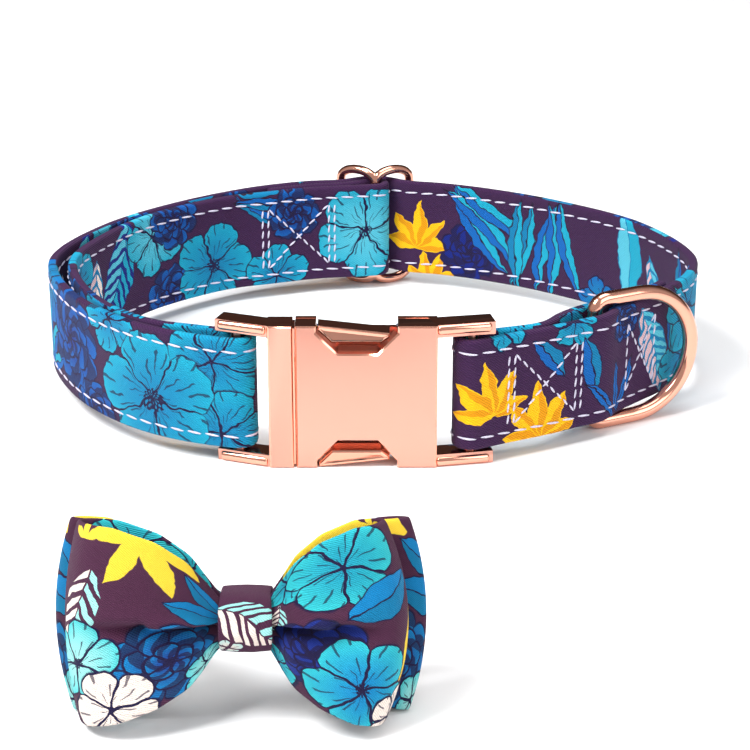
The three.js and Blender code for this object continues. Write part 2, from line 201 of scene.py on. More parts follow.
def chart_flat(piece: bpy.types.Object, place: Callable[[Vector, Vector], tuple[float, float]] | None = None) -> None:
    """Lays a piece's UV map flat in millimetres, before the piece is bent.

    Args:
        piece: The flat object.
        place: Takes a corner in millimetres and its face's normal, and returns the corner's U and V. Left
            out, these are X and Z.
    """
    mesh = piece.data
    layer = mesh.uv_layers.active or mesh.uv_layers.new(name="cloth")
    for polygon in mesh.polygons:
        for loop in polygon.loop_indices:
            corner = mesh.vertices[mesh.loops[loop].vertex_index].co / MM
            layer.data[loop].uv = place(corner, polygon.normal) if place else (corner.x, corner.z)


def outward(piece: bpy.types.Object) -> None:
    """Merges a piece's doubles and points its faces outwards.

    Args:
        piece: The object to mend.
    """
    activate(piece)
    bpy.ops.object.mode_set(mode="EDIT")
    bpy.ops.mesh.select_all(action="SELECT")
    bpy.ops.mesh.remove_doubles(threshold=1e-6)
    bpy.ops.mesh.normals_make_consistent(inside=False)
    bpy.ops.object.mode_set(mode="OBJECT")


def merged_copy(node: str, name: str) -> bpy.types.Object:
    """Copies a frame node's mesh into a new piece and merges its loose triangles.

    Args:
        node: The frame node.
        name: The new piece's name.

    Returns:
        The copy, which rides on nothing yet.
    """
    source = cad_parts[node]
    copy = bpy.data.objects.new(name, source.data.copy())
    bpy.context.scene.collection.objects.link(copy)
    copy.data.materials.clear()
    activate(copy)
    bpy.ops.object.mode_set(mode="EDIT")
    bpy.ops.mesh.select_all(action="SELECT")
    bpy.ops.mesh.remove_doubles(threshold=2e-6)
    bpy.ops.object.mode_set(mode="OBJECT")
    return copy


def spline(points: Sequence[Vector], closed: bool, part: float) -> Vector:
    """Finds a place on the smooth curve through some points, spaced by the root of their distances.

    Args:
        points: The points that the curve goes through.
        closed: Whether the curve comes back to its first point.
        part: How far along, from 0 to 1, with every stretch between two points the same share.

    Returns:
        The place.
    """
    count = len(points)
    reach = (count if closed else count - 1) * part
    first = min(math.floor(reach), count - 1 if closed else count - 2)
    share = reach - first
    if closed:
        before, start, end, after = (points[(first + i) % count] for i in (-1, 0, 1, 2))
    else:
        start, end = points[first], points[first + 1]
        before = points[first - 1] if first else start * 2 - end
        after = points[first + 2] if first + 2 < count else end * 2 - start
    spans = [max((b - a).length, 1e-6) ** 0.5 for a, b in ((before, start), (start, end), (end, after))]
    leave = ((start - before) / spans[0] - (end - before) / (spans[0] + spans[1])) * spans[1] + (end - start)
    arrive = ((after - end) / spans[2] - (after - start) / (spans[1] + spans[2])) * spans[1] + (end - start)
    square, cube = share * share, share**3
    return (
        start * (2 * cube - 3 * square + 1)
        + leave * (cube - 2 * square + share)
        + end * (3 * square - 2 * cube)
        + arrive * (cube - square)
    )


# --- Shader groups ------------------------------------------------------------------------------


class Wiring:
    """Adds nodes to one node tree. An input is given as a number, a colour or another node's socket."""

    def __init__(self, tree: bpy.types.NodeTree) -> None:
        """Starts on a tree.

        Args:
            tree: The node tree to add to.
        """
        self.tree = tree

    def add(self, kind: str, inputs: Mapping, **settings: object) -> bpy.types.Node:
        """Adds a node.

        Args:
            kind: The node's type name.
            inputs: Values or sockets by input name or place.
            settings: The node's own properties.

        Returns:
            The node.
        """
        node = self.tree.nodes.new(kind)
        for name, value in settings.items():
            setattr(node, name, value)
        for key, value in inputs.items():
            if isinstance(value, bpy.types.NodeSocket):
                self.tree.links.new(value, node.inputs[key])
            else:
                node.inputs[key].default_value = value
        return node

    def math(self, operation: str, *values: Value, clamp: bool = False) -> bpy.types.NodeSocket:
        """Adds a Math node and returns its result.

        Args:
            operation: The node's operation.
            values: Its inputs in order.
            clamp: Whether the result is kept from 0 to 1.

        Returns:
            The result's socket.
        """
        node = self.add("ShaderNodeMath", dict(enumerate(values)), operation=operation, use_clamp=clamp)
        return node.outputs[0]

    def mix(self, factor: Value, first: Value, second: Value) -> bpy.types.NodeSocket:
        """Mixes two colours and returns the mixed one.

        Args:
            factor: The share of the second colour.
            first: The first colour.
            second: The second colour.

        Returns:
            The mixed colour's socket.
        """
        node = self.add("ShaderNodeMix", {0: factor, 6: first, 7: second}, data_type="RGBA")
        return node.outputs[2]

    def noise(self, vector: Value, scale: float, detail: float = 2.0) -> bpy.types.Node:
        """Adds a Noise node.

        Args:
            vector: Where it is read.
            scale: Its scale, in features for each unit of the vector.
            detail: Its detail.

        Returns:
            The node.
        """
        return self.add("ShaderNodeTexNoise", {"Vector": vector, "Scale": scale, "Detail": detail})

    def placed(self, group: bpy.types.NodeTree, inputs: Mapping) -> bpy.types.Node:
        """Places a node group.

        Args:
            group: The group.
            inputs: Values or sockets by input name.

        Returns:
            The group's node.
        """
        return self.add("ShaderNodeGroup", inputs, node_tree=group)


FLOAT, COLOUR, VECTOR = "NodeSocketFloat", "NodeSocketColor", "NodeSocketVector"


def new_group(
    name: str, inputs: Mapping[str, str], outputs: Mapping[str, str]
) -> tuple[Wiring, bpy.types.NodeOutputs, bpy.types.NodeInputs]:
    """Starts a shader node group.

    Args:
        name: The group's name.
        inputs: Socket types by input name.
        outputs: Socket types by output name.

    Returns:
        The group's wiring, its inputs to read from and its outputs to link to.
    """
    tree = bpy.data.node_groups.new(name, "ShaderNodeTree")
    for way, sockets in (("INPUT", inputs), ("OUTPUT", outputs)):
        for socket, kind in sockets.items():
            tree.interface.new_socket(name=socket, in_out=way, socket_type=kind)
    entry = tree.nodes.new("NodeGroupInput")
    leaving = tree.nodes.new("NodeGroupOutput")
    return Wiring(tree), entry.outputs, leaving.inputs


class PrintGroups:
    """The shader groups that the printed cloths share: a flower, a leaf and the cloth's twill."""

    def __init__(self) -> None:
        """Builds the groups."""
        self.rosette = self._rosette()
        self.blade = self._blade()
        self.twill = self._twill()

    @staticmethod
    def _local(wiring: Wiring, given: bpy.types.NodeOutputs) -> tuple[bpy.types.NodeSocket, ...]:
        """Finds the place in a motif's own turned coordinates.

        Args:
            wiring: The group's wiring.
            given: The group's inputs.

        Returns:
            The place's X, Y and whole vector.
        """
        shift = wiring.add(
            "ShaderNodeVectorMath", {0: given["Vector"], 1: given["Centre"]}, operation="SUBTRACT"
        )
        turned = wiring.add(
            "ShaderNodeVectorRotate", {"Vector": shift.outputs[0], "Angle": given["Turn"]}, rotation_type="Z_AXIS"
        )
        parts = wiring.add("ShaderNodeSeparateXYZ", {0: turned.outputs[0]})
        return parts.outputs[0], parts.outputs[1], turned.outputs[0]

    def _rosette(self) -> bpy.types.NodeTree:
        """Builds the round motif: petals, blades or scales round a heart, with veins and an outline.

        Returns:
            The node group.
        """
        wiring, given, out = new_group(
            "printed_rosette",
            {
                "Vector": VECTOR, "Base": COLOUR, "Centre": VECTOR, "Turn": FLOAT, "Size": FLOAT,
                "Half Count": FLOAT, "Depth": FLOAT, "Sharpness": FLOAT, "Veins": FLOAT, "Heart": FLOAT,
                "Inner": COLOUR, "Outer": COLOUR, "Line": COLOUR,
            },
            {"Color": COLOUR},
        )
        x, y, place = self._local(wiring, given)
        theta = wiring.math("ARCTAN2", y, x)
        radius = wiring.add("ShaderNodeVectorMath", {0: place}, operation="LENGTH").outputs["Value"]
        wave = wiring.math("ABSOLUTE", wiring.math("COSINE", wiring.math("MULTIPLY", theta, given["Half Count"])))
        lobe = wiring.math("POWER", wave, given["Sharpness"])
        waist = wiring.math("SUBTRACT", 1.0, given["Depth"])
        reach = wiring.math("MULTIPLY", given["Size"], wiring.math("MULTIPLY_ADD", lobe, given["Depth"], waist))
        part = wiring.math("DIVIDE", radius, reach)
        inside = wiring.math("MULTIPLY", wiring.math("SUBTRACT", 1.0, part), 24.0, clamp=True)
        rim_start = wiring.math("SUBTRACT", 1.0, wiring.math("DIVIDE", 0.58, reach))
        rim = wiring.math("GREATER_THAN", part, rim_start)
        rays = wiring.math("GREATER_THAN", wiring.math("COSINE", wiring.math("MULTIPLY", theta, given["Veins"])), 0.84)
        reached = wiring.math("GREATER_THAN", wiring.math("FRACT", wiring.math("MULTIPLY_ADD", part, 1.7, theta)), 0.45)
        veins = wiring.math("MULTIPLY", wiring.math("MULTIPLY", rays, reached), 0.8)
        seam = wiring.math("LESS_THAN", wiring.math("MULTIPLY", wave, radius), 0.55)
        lines = wiring.math("MAXIMUM", wiring.math("MAXIMUM", rim, veins), seam)
        tone = wiring.mix(wiring.math("POWER", part, 1.6, clamp=True), given["Inner"], given["Outer"])
        drawn = wiring.mix(lines, tone, given["Line"])
        dots = wiring.math(
            "GREATER_THAN",
            wiring.math(
                "MULTIPLY",
                wiring.math("SINE", wiring.math("MULTIPLY", radius, 4.2)),
                wiring.math("SINE", wiring.math("MULTIPLY", theta, 11.0)),
            ),
            -0.2,
        )
        heart = wiring.math("MULTIPLY", wiring.math("LESS_THAN", radius, given["Heart"]), dots)
        stamens = wiring.mix(heart, drawn, given["Line"])
        wiring.tree.links.new(wiring.mix(inside, given["Base"], stamens), out["Color"])
        return wiring.tree

    def _blade(self) -> bpy.types.NodeTree:
        """Builds the leaf motif: a pointed, bent blade with a rib, an outline and two tones or stripes.

        Returns:
            The node group.
        """
        wiring, given, out = new_group(
            "printed_blade",
            {
                "Vector": VECTOR, "Base": COLOUR, "Centre": VECTOR, "Turn": FLOAT, "Length": FLOAT,
                "Width": FLOAT, "Bend": FLOAT, "Stripes": FLOAT, "Fill": COLOUR, "Shade": COLOUR, "Line": COLOUR,
            },
            {"Color": COLOUR},
        )
        x, y, _ = self._local(wiring, given)
        along = wiring.math("DIVIDE", x, given["Length"])
        square = wiring.math("MULTIPLY", along, along)
        taper = wiring.math("SUBTRACT", 1.0, square)
        across = wiring.math("SUBTRACT", y, wiring.math("MULTIPLY", given["Bend"], square))
        off = wiring.math("ABSOLUTE", across)
        half = wiring.math("MAXIMUM", wiring.math("MULTIPLY", given["Width"], taper), 0.001)
        edge = wiring.math("SUBTRACT", half, off)
        inside = wiring.math("MULTIPLY", edge, 8.0, clamp=True)
        rim = wiring.math("LESS_THAN", edge, 0.3)
        rib = wiring.math("LESS_THAN", off, 0.14)
        slant = wiring.math("MULTIPLY", wiring.math("ADD", x, off), given["Stripes"])
        stripe = wiring.math("GREATER_THAN", wiring.math("SINE", slant), 0.25)
        lines = wiring.math("MAXIMUM", wiring.math("MAXIMUM", rim, rib), stripe)
        tone = wiring.mix(wiring.math("GREATER_THAN", across, 0.0), given["Shade"], given["Fill"])
        drawn = wiring.mix(lines, tone, given["Line"])
        wiring.tree.links.new(wiring.mix(inside, given["Base"], drawn), out["Color"])
        return wiring.tree

    def _twill(self) -> bpy.types.NodeTree:
        """Builds the cloth's diagonal ribs, which raise its surface and also darken its colour in their hollows as
        painted shade, with a random lint tone mixed in.

        Returns:
            The node group.
        """
        wiring, given, out = new_group(
            "cloth_twill", {"Vector": VECTOR, "Pitch": FLOAT, "Base": COLOUR}, {"Color": COLOUR, "Height": FLOAT}
        )
        parts = wiring.add("ShaderNodeSeparateXYZ", {0: given["Vector"]})
        slant = wiring.math("MULTIPLY_ADD", parts.outputs[1], 1.35, parts.outputs[0])
        turn = wiring.math("DIVIDE", 2 * math.pi, given["Pitch"])
        rib = wiring.math("SINE", wiring.math("MULTIPLY", slant, turn))
        cross = wiring.math("SINE", wiring.math("MULTIPLY", parts.outputs[1], wiring.math("MULTIPLY", turn, 1.9)))
        lint = wiring.noise(given["Vector"], 1.1, 4.0).outputs["Fac"]
        height = wiring.math("MULTIPLY_ADD", cross, 0.25, rib)
        height = wiring.math("MULTIPLY_ADD", lint, 0.9, height)
        # Painted shade: the colour is scaled down where the ribs are low, and the lint adds a random tone on top.
        shade = wiring.math("MULTIPLY_ADD", height, 0.15, 0.86)
        rib_shaded = wiring.add("ShaderNodeVectorMath", {0: given["Base"], "Scale": shade}, operation="SCALE")
        wiring.tree.links.new(rib_shaded.outputs[0], out["Color"])
        wiring.tree.links.new(height, out["Height"])
        return wiring.tree


# --- The print's motifs -------------------------------------------------------------------------


@dataclass(frozen=True)
class Rosette:
    """A round printed motif. Places and sizes are millimetres on the flat cloth, and turns are degrees."""

    x: float
    y: float
    size: float
    petals: int = 5
    turn: float = 0.0
    depth: float = 0.35
    sharpness: float = 0.6
    veins: float = 21.0
    heart: float = 1.6
    inner: tuple = DEEP_CYAN
    outer: tuple = CYAN
    line: tuple = INK

    def draw(self, wiring: Wiring, groups: PrintGroups, vector: Value, base: Value) -> bpy.types.NodeSocket:
        """Draws the motif over what is printed so far.

        Args:
            wiring: The material's wiring.
            groups: The print's shader groups.
            vector: The place on the cloth.
            base: The colour so far.

        Returns:
            The new colour.
        """
        return wiring.placed(groups.rosette, {
            "Vector": vector, "Base": base, "Centre": (self.x, self.y, 0), "Turn": math.radians(-self.turn),
            "Size": self.size, "Half Count": self.petals / 2, "Depth": self.depth,
            "Sharpness": self.sharpness, "Veins": self.veins, "Heart": self.heart,
            "Inner": self.inner, "Outer": self.outer, "Line": self.line,
        }).outputs["Color"]


@dataclass(frozen=True)
class Blade:
    """A pointed printed leaf. Places and sizes are millimetres on the flat cloth, and turns are degrees."""

    x: float
    y: float
    length: float
    width: float
    turn: float = 0.0
    bend: float = 0.0
    stripes: float = 0.0
    fill: tuple = BLUE
    shade: tuple = DEEP_CYAN
    line: tuple = INK

    def draw(self, wiring: Wiring, groups: PrintGroups, vector: Value, base: Value) -> bpy.types.NodeSocket:
        """Draws the motif over what is printed so far.

        Args:
            wiring: The material's wiring.
            groups: The print's shader groups.
            vector: The place on the cloth.
            base: The colour so far.

        Returns:
            The new colour.
        """
        return wiring.placed(groups.blade, {
            "Vector": vector, "Base": base, "Centre": (self.x, self.y, 0), "Turn": math.radians(-self.turn),
            "Length": self.length / 2, "Width": self.width / 2, "Bend": self.bend, "Stripes": self.stripes,
            "Fill": self.fill, "Shade": self.shade, "Line": self.line,
        }).outputs["Color"]


def palm(x: float, y: float, size: float, turn: float, fill: tuple = YELLOW, shade: tuple = AMBER,
         spread: Sequence[float] = (-78, -38, 0, 38, 78), slim: float = 0.31) -> list[Blade]:
    """Lays a palm leaf's blades out as a fan.

    Args:
        x: The fan's foot along the cloth.
        y: The fan's foot across the cloth.
        size: The middle blade's length.
        turn: The middle blade's direction, in degrees.
        fill: The blades' colour.
        shade: The colour of each blade's lower half.
        spread: Each blade's direction from the middle one, in degrees.
        slim: Each blade's width, as a share of the middle one's length.

    Returns:
        The blades.
    """
    blades = []
    for angle in spread:
        length = size * (1 - 0.38 * abs(angle) / 90)
        way = math.radians(turn + angle)
        blades.append(Blade(
            x + math.cos(way) * length * 0.46, y + math.sin(way) * length * 0.46, length, size * slim,
            turn + angle, fill=fill, shade=shade, line=fill,
        ))
    return blades


def strands(x: float, y: float, length: float, turn: float, count: int, fan: float, fill: tuple = BLUE,
            shade: tuple = BLUE, line: tuple = DARK_PLUM) -> list[Blade]:
    """Lays long thin leaves out from one foot.

    Args:
        x: The foot along the cloth.
        y: The foot across the cloth.
        length: Each leaf's length.
        turn: The middle direction, in degrees.
        count: How many leaves there are.
        fan: The angle between neighbours, in degrees.
        fill: The colour of each leaf's upper half.
        shade: The colour of its lower half.
        line: The outline's colour.

    Returns:
        The leaves.
    """
    leaves = []
    for i in range(count):
        angle = turn + (i - (count - 1) / 2) * fan
        way = math.radians(angle)
        leaves.append(Blade(
            x + math.cos(way) * length / 2, y + math.sin(way) * length / 2, length, length * 0.17, angle,
            bend=length * 0.06 * (-1) ** i, fill=fill, shade=shade, line=line,
        ))
    return leaves


def blossom(x: float, y: float, size: float, turn: float = 0.0, inner: tuple = NAVY,
            outer: tuple = BLUE, line: tuple = INK) -> list[Rosette]:
    """Lays a scaly blossom out as rosettes that lie on each other.

    Args:
        x: Its middle along the cloth.
        y: Its middle across the cloth.
        size: Its radius.
        turn: Its turn, in degrees.
        inner: Each scale's colour at its foot.
        outer: Each scale's colour at its edge.
        line: The outline's colour.

    Returns:
        The rosettes, from the widest to the smallest.
    """
    return [
        Rosette(
            x, y, size * share, count, turn + 14 * i, 0.2, 0.5, 0.0, 0.0 if i < 2 else 1.0, inner, outer, line
        )
        for i, (share, count) in enumerate(((1.0, 9), (0.7, 7), (0.42, 5)))
    ]


def motifs_near(motifs: Sequence[Rosette | Blade], start: float, length: float,
                repeat: float) -> tuple[Rosette | Blade, ...]:
    """Picks the motifs that reach into one stretch of a repeating print.

    Args:
        motifs: All the print's motifs.
        start: Where the stretch starts along the cloth.
        length: How long it is.
        repeat: The print's repeat.

    Returns:
        The motifs, moved by whole repeats to where the stretch has them.
    """
    near = []
    for motif in motifs:
        reach = motif.size if isinstance(motif, Rosette) else motif.length / 2
        for shift in (-repeat, 0, repeat):
            x = motif.x + shift
            if start - reach - 2 < x < start + length + reach + 2:
                near.append(replace(motif, x=x))
    return tuple(near)


# The strap's print, over one repeat. U runs along the strip and V across it, from its middle.
# It is dressed stretch by stretch, and each stretch's material has only the motifs that reach into it.
STRAP_REPEAT = 380.0
STRAP_STRETCH = 47.5
STRAP_MARGIN = 30.0
STRAP_PRINT: list[Rosette | Blade] = [
    # The left front, up to the buckle.
    *strands(-32, -11, 24, 68, 3, 20, DEEP_CYAN, BLUE),
    Rosette(-10, 10, 10, 5, 0, 0.3, 0.6, 21, 0.0, DEEP_CYAN, BLUE),
    *strands(-16, -13, 25, 60, 4, 22, CYAN, BLUE),
    *blossom(6, 2, 12.5, 10),
    *blossom(16, -12, 8, 40),
    Rosette(23, 12, 9, 5, 40, 0.3, 0.6, 21, 0.0),
    Rosette(50, 7, 11.5, 5, 20, 0.28, 0.6, 25, 0.0),
    Rosette(52, -9, 10.5, 5, 75, 0.28, 0.6, 25, 0.0),
    Rosette(35.5, -4, 16, 5, 100, 0.28, 0.6, 25, 2.8),
    # The right front, from the buckle to the lead ring.
    Rosette(74, 15, 6, 5, 30, 0.35, 0.6, 17, 0.0),
    Blade(85, 6, 13, 4.4, 128, 0.8, 0, BLUE, DEEP_CYAN),
    *palm(71, -5, 13.5, 100),
    *palm(82.5, -12.5, 14.5, 94),
    Rosette(91, 13, 6.5, 5, 12, 0.35, 0.6, 17, 0.0),
    Blade(96, 2, 15, 5, 100, 1.0, 0, BLUE, DEEP_CYAN),
    *strands(104, -13, 15, 95, 3, 34, BLUE, BLUE, DARK_PLUM),
    *blossom(107, 9, 5, 0, NAVY, BLUE),
    Blade(118, 0, 24, 8.5, 112, 1.2, 2.4, PINK, PALE_BLUE, DEEP_CYAN),
    Rosette(130, -6, 9.5, 5, 40, 0.3, 0.6, 21, 0.0),
    *strands(124, 12, 16, -60, 3, 30, CYAN, BLUE),
    # The layer that lines the left.
    Rosette(133, 5, 11, 5, 20, 0.35, 0.6, 21, 1.4),
    Blade(142, -4, 25, 9, 66, 2, 2.1, PINK, CREAM, DEEP_CYAN),
    Blade(155, 0, 30, 12, 62, 2, 1.9, PALE_BLUE, CYAN, NAVY),
    Rosette(169, 7, 10.5, 5, 40, 0.3, 0.6, 21, 0.0, PALE_BLUE, CYAN),
    *blossom(176, 10, 8, 20),
    *blossom(175, -10, 9, 0),
    *strands(194, 12, 20, -14, 3, 20, BLUE, DEEP_CYAN),
    Rosette(188, -5, 12, 5, 70, 0.3, 0.6, 25, 2.0),
    Rosette(206, -10, 9, 5, 15, 0.3, 0.6, 21, 0.0),
    *blossom(211, 6, 7.5, 0),
    Rosette(230, 0, 13.5, 5, 55, 0.3, 0.6, 25, 1.8, PALE_BLUE, CYAN),
    # The lining of the right back, and the outside of the left back.
    *palm(262, -5, 13.5, 84),
    *palm(265, -15, 11, 60),
    *blossom(277, -5, 8.5, 0, NAVY, NAVY),
    *strands(270, 13, 30, -42, 3, 13, CYAN, BLUE),
    *strands(290, -14, 26, 84, 2, 13, DEEP_CYAN, CYAN),
    *strands(301, 13, 27, -88, 3, 15, CYAN, BLUE),
    Rosette(316, -11, 7, 5, 30, 0.35, 0.6, 17, 0.0, DEEP_CYAN, BLUE),
    Blade(326, 3, 26, 9, 96, 3, 0, PALE_BLUE, CYAN, DEEP_CYAN),
    Blade(336, -3, 19, 6, 100, 1.2, 2.4, PINK, PALE_BLUE, DEEP_CYAN),
]

# The bow's print, over one repeat. U runs outwards round each lobe and V up it, from the knot.
BOW_REPEAT = 64.0
BOW_PRINT: list[Rosette | Blade] = [
    *palm(46.5, 18, 13.5, -94, BOW_YELLOW, BOW_YELLOW, (-72, -24, 24, 72), 0.27),
    *palm(37, 15, 5, 90, BOW_YELLOW, BOW_YELLOW, (-60, 0, 60)),
    Blade(57, 10, 13, 6, -30, 0.6, 0, BOW_BLUE, DEEP_CYAN),
    Blade(56, 3.5, 15, 7, -14, 0.6, 0, BOW_BLUE, DEEP_CYAN),
    *blossom(50, -8, 9.5, 0, BOW_NAVY, BOW_BLUE),
    Blade(37, 3, 16, 7, 70, 0.6, 2.6, CREAM, MINT, BOW_PLUM),
    Rosette(36.5, -6, 7.5, 5, 10, 0.3, 0.6, 17, 1.0, MINT, TURQUOISE),
    Rosette(41.5, -14.5, 7.6, 5, 40, 0.3, 0.6, 15, 0.0, CREAM, CREAM),
    Rosette(56.5, -15, 5.5, 5, 0, 0.3, 0.6, 15, 0.0, MINT, TURQUOISE),
    Blade(6, 1, 15, 6, 80, 0.8, 3.2, CREAM, MINT, BOW_PLUM),
    Rosette(9, 13, 6.5, 5, 0, 0.3, 0.6, 19, 0.0, TEAL, TURQUOISE),
    Rosette(17.5, 11.5, 9.5, 5, 20, 0.3, 0.6, 19, 0.0, TEAL, TURQUOISE),
    *blossom(13, -6.5, 9, 0, BOW_NAVY, BOW_NAVY),
    Blade(23.5, 5, 14, 7, 35, 0.6, 0, BOW_BLUE, DEEP_CYAN),
    Blade(29.5, -2.5, 15, 3, 78, 0.4, 0, BOW_YELLOW, BOW_YELLOW, BOW_YELLOW),
    Rosette(20.5, -11, 9.5, 5, 50, 0.3, 0.6, 19, 1.3, BOW_BLUE, TURQUOISE),
    Rosette(28, -15.5, 5.5, 5, 10, 0.3, 0.6, 15, 0.0, CREAM, CREAM),
    Rosette(6, -15.5, 5.5, 5, 10, 0.3, 0.6, 15, 0.0, TEAL, TURQUOISE),
]

# The knot's print is one fern leaf, with its middle in the middle of the knot.
KNOT_REPEAT = 40.0
KNOT_PRINT: list[Rosette | Blade] = [
    Blade(20.6, 0.6, 13.5, 8.4, 150, 1.2, 3.2, CREAM, MINT, BOW_PLUM),
    Rosette(17.2, -4.6, 3, 4, 20, 0.3, 0.6, 9, 0.0, CREAM, MINT, BOW_PLUM),
]


# --- Finishes -----------------------------------------------------------------------------------


def bare_material(name: str) -> tuple[bpy.types.Material, Wiring, bpy.types.Node]:
    """Starts a node material.

    Args:
        name: The material's name.

    Returns:
        The material, its wiring and its Principled shader.
    """
    material = bpy.data.materials.new(name)
    material.use_nodes = True
    return material, Wiring(material.node_tree), material.node_tree.nodes["Principled BSDF"]


def dress(piece: bpy.types.Object, materials: Sequence[bpy.types.Material], slot: str, body: str,
          *nodes: str) -> bpy.types.Object:
    """Gives a piece its material and its place in the frame.

    Args:
        piece: The piece.
        materials: Its materials, in the order that its faces use them.
        slot: The record's material slot, which is not used.
        body: The body that it rides on.
        nodes: The frame nodes that it stands for.

    Returns:
        The piece.
    """
    for place, material in enumerate(materials):
        if place < len(piece.data.materials):
            piece.data.materials[place] = material
        else:
            piece.data.materials.append(material)
    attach(piece, body)
    if nodes:
        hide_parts(*nodes)
    return piece


@dataclass(frozen=True)
class PrintedTwill:
    """Cotton twill with a floral print, read from a piece's flat UV map in millimetres."""

    name: str
    ground: tuple
    motifs: tuple[Rosette | Blade, ...]
    repeat: float
    start: float = 0.0
    stitch_line: float = 0.0
    pitch: float = 0.78
    hand: float = 1.0

    def make(self, groups: PrintGroups) -> bpy.types.Material:
        """Makes the material.

        Args:
            groups: The print's shader groups.

        Returns:
            The material.
        """
        material, wiring, surface = bare_material(self.name)
        flat = wiring.add("ShaderNodeUVMap", {}).outputs["UV"]
        wobble = wiring.noise(flat, 0.24, 2.0).outputs["Color"]
        shift = wiring.add("ShaderNodeVectorMath", {0: wobble, 1: (0.5, 0.5, 0.5)}, operation="SUBTRACT")
        drift = wiring.add(
            "ShaderNodeVectorMath", {0: shift.outputs[0], 1: (3.2 * self.hand, 3.2 * self.hand, 0), 2: flat},
            operation="MULTIPLY_ADD",
        )
        parts = wiring.add("ShaderNodeSeparateXYZ", {0: drift.outputs[0]})
        wrapped = wiring.math("WRAP", parts.outputs[0], self.start + self.repeat, self.start)
        place = wiring.add("ShaderNodeCombineXYZ", {0: wrapped, 1: parts.outputs[1]}).outputs[0]
        colour: Value = self.ground
        for motif in self.motifs:
            colour = motif.draw(wiring, groups, place, colour)
        # The twill paints shade into the printed colour in its rib hollows, and gives the bump its height.
        woven = wiring.placed(groups.twill, {"Vector": flat, "Pitch": self.pitch, "Base": colour})
        height = woven.outputs["Height"]
        if self.stitch_line:
            edge = wiring.math("ABSOLUTE", wiring.add("ShaderNodeSeparateXYZ", {0: flat}).outputs[1])
            away = wiring.math("ABSOLUTE", wiring.math("SUBTRACT", edge, self.stitch_line))
            pull = wiring.math("SUBTRACT", 1.0, wiring.math("DIVIDE", away, 1.3), clamp=True)
            height = wiring.math("MULTIPLY_ADD", wiring.math("MULTIPLY", pull, pull), -4.5, height)
        raised = wiring.add("ShaderNodeBump", {"Strength": 0.7, "Distance": 0.0001, "Height": height})
        wiring.tree.links.new(woven.outputs["Color"], surface.inputs["Base Color"])
        wiring.tree.links.new(raised.outputs[0], surface.inputs["Normal"])
        surface.inputs["Roughness"].default_value = 0.78
        surface.inputs["Specular IOR Level"].default_value = 0.2
        surface.inputs["Sheen Weight"].default_value = 0.04
        surface.inputs["Sheen Roughness"].default_value = 0.5
        return material


@dataclass(frozen=True)
class PlainThread:
    """Matt thread or ribbed elastic in one colour, with a fine twist."""

    name: str
    colour: tuple
    shade: tuple
    scale: float
    rib: float = 0.0

    def make(self) -> bpy.types.Material:
        """Makes the material.

        Returns:
            The material.
        """
        material, wiring, surface = bare_material(self.name)
        place = wiring.add("ShaderNodeTexCoord", {}).outputs["Object"]
        fuzz = wiring.noise(place, self.scale, 3.0).outputs["Fac"]
        wiring.tree.links.new(wiring.mix(fuzz, self.shade, self.colour), surface.inputs["Base Color"])
        height = fuzz
        if self.rib:
            across = wiring.add("ShaderNodeSeparateXYZ", {0: place}).outputs[0]
            ribs = wiring.math("SINE", wiring.math("MULTIPLY", across, 2 * math.pi / (self.rib * MM)))
            height = wiring.math("MULTIPLY_ADD", fuzz, 0.6, ribs)
        raised = wiring.add("ShaderNodeBump", {"Strength": 0.5, "Distance": 0.00008, "Height": height})
        wiring.tree.links.new(raised.outputs[0], surface.inputs["Normal"])
        surface.inputs["Roughness"].default_value = 0.85
        return material


@dataclass(frozen=True)
class RoseGold:
    """Rose-gold plating: a colour, how rough it is, and how much a fine grain changes that."""

    name: str
    colour: tuple
    rough: float
    grain: float = 0.05

    def make(self, grain_group: bpy.types.NodeTree) -> bpy.types.Material:
        """Makes the material.

        Args:
            grain_group: The plating grain's shader group.

        Returns:
            The material.
        """
        material, wiring, surface = bare_material(self.name)
        grain = wiring.placed(grain_group, {"Roughness": self.rough, "Grain": self.grain, "Base": self.colour})
        raised = wiring.add("ShaderNodeBump", {"Strength": 0.06, "Distance": 0.00002, "Height": grain.outputs["Height"]})
        wiring.tree.links.new(grain.outputs["Color"], surface.inputs["Base Color"])
        wiring.tree.links.new(grain.outputs["Roughness"], surface.inputs["Roughness"])
        wiring.tree.links.new(raised.outputs[0], surface.inputs["Normal"])
        surface.inputs["Metallic"].default_value = 1.0
        return material


def plating_grain() -> bpy.types.NodeTree:
    """Builds the plating's grain, which varies its colour and roughness a little.

    Returns:
        The node group.
    """
    wiring, given, out = new_group(
        "plating_grain",
        {"Roughness": FLOAT, "Grain": FLOAT, "Base": COLOUR},
        {"Color": COLOUR, "Roughness": FLOAT, "Height": FLOAT},
    )
    place = wiring.add("ShaderNodeTexCoord", {}).outputs["Object"]
    cloud = wiring.noise(place, 90.0, 3.0).outputs["Fac"]
    fine = wiring.noise(place, 2600.0, 2.0).outputs["Fac"]
    swing = wiring.math("MULTIPLY", wiring.math("SUBTRACT", cloud, 0.5), given["Grain"])
    wiring.tree.links.new(wiring.math("ADD", given["Roughness"], swing), out["Roughness"])
    tint = wiring.add(
        "ShaderNodeVectorMath",
        {0: given["Base"], "Scale": wiring.math("MULTIPLY_ADD", cloud, 0.05, 0.975)},
        operation="SCALE",
    )
    wiring.tree.links.new(tint.outputs[0], out["Color"])
    wiring.tree.links.new(fine, out["Height"])
    return wiring.tree


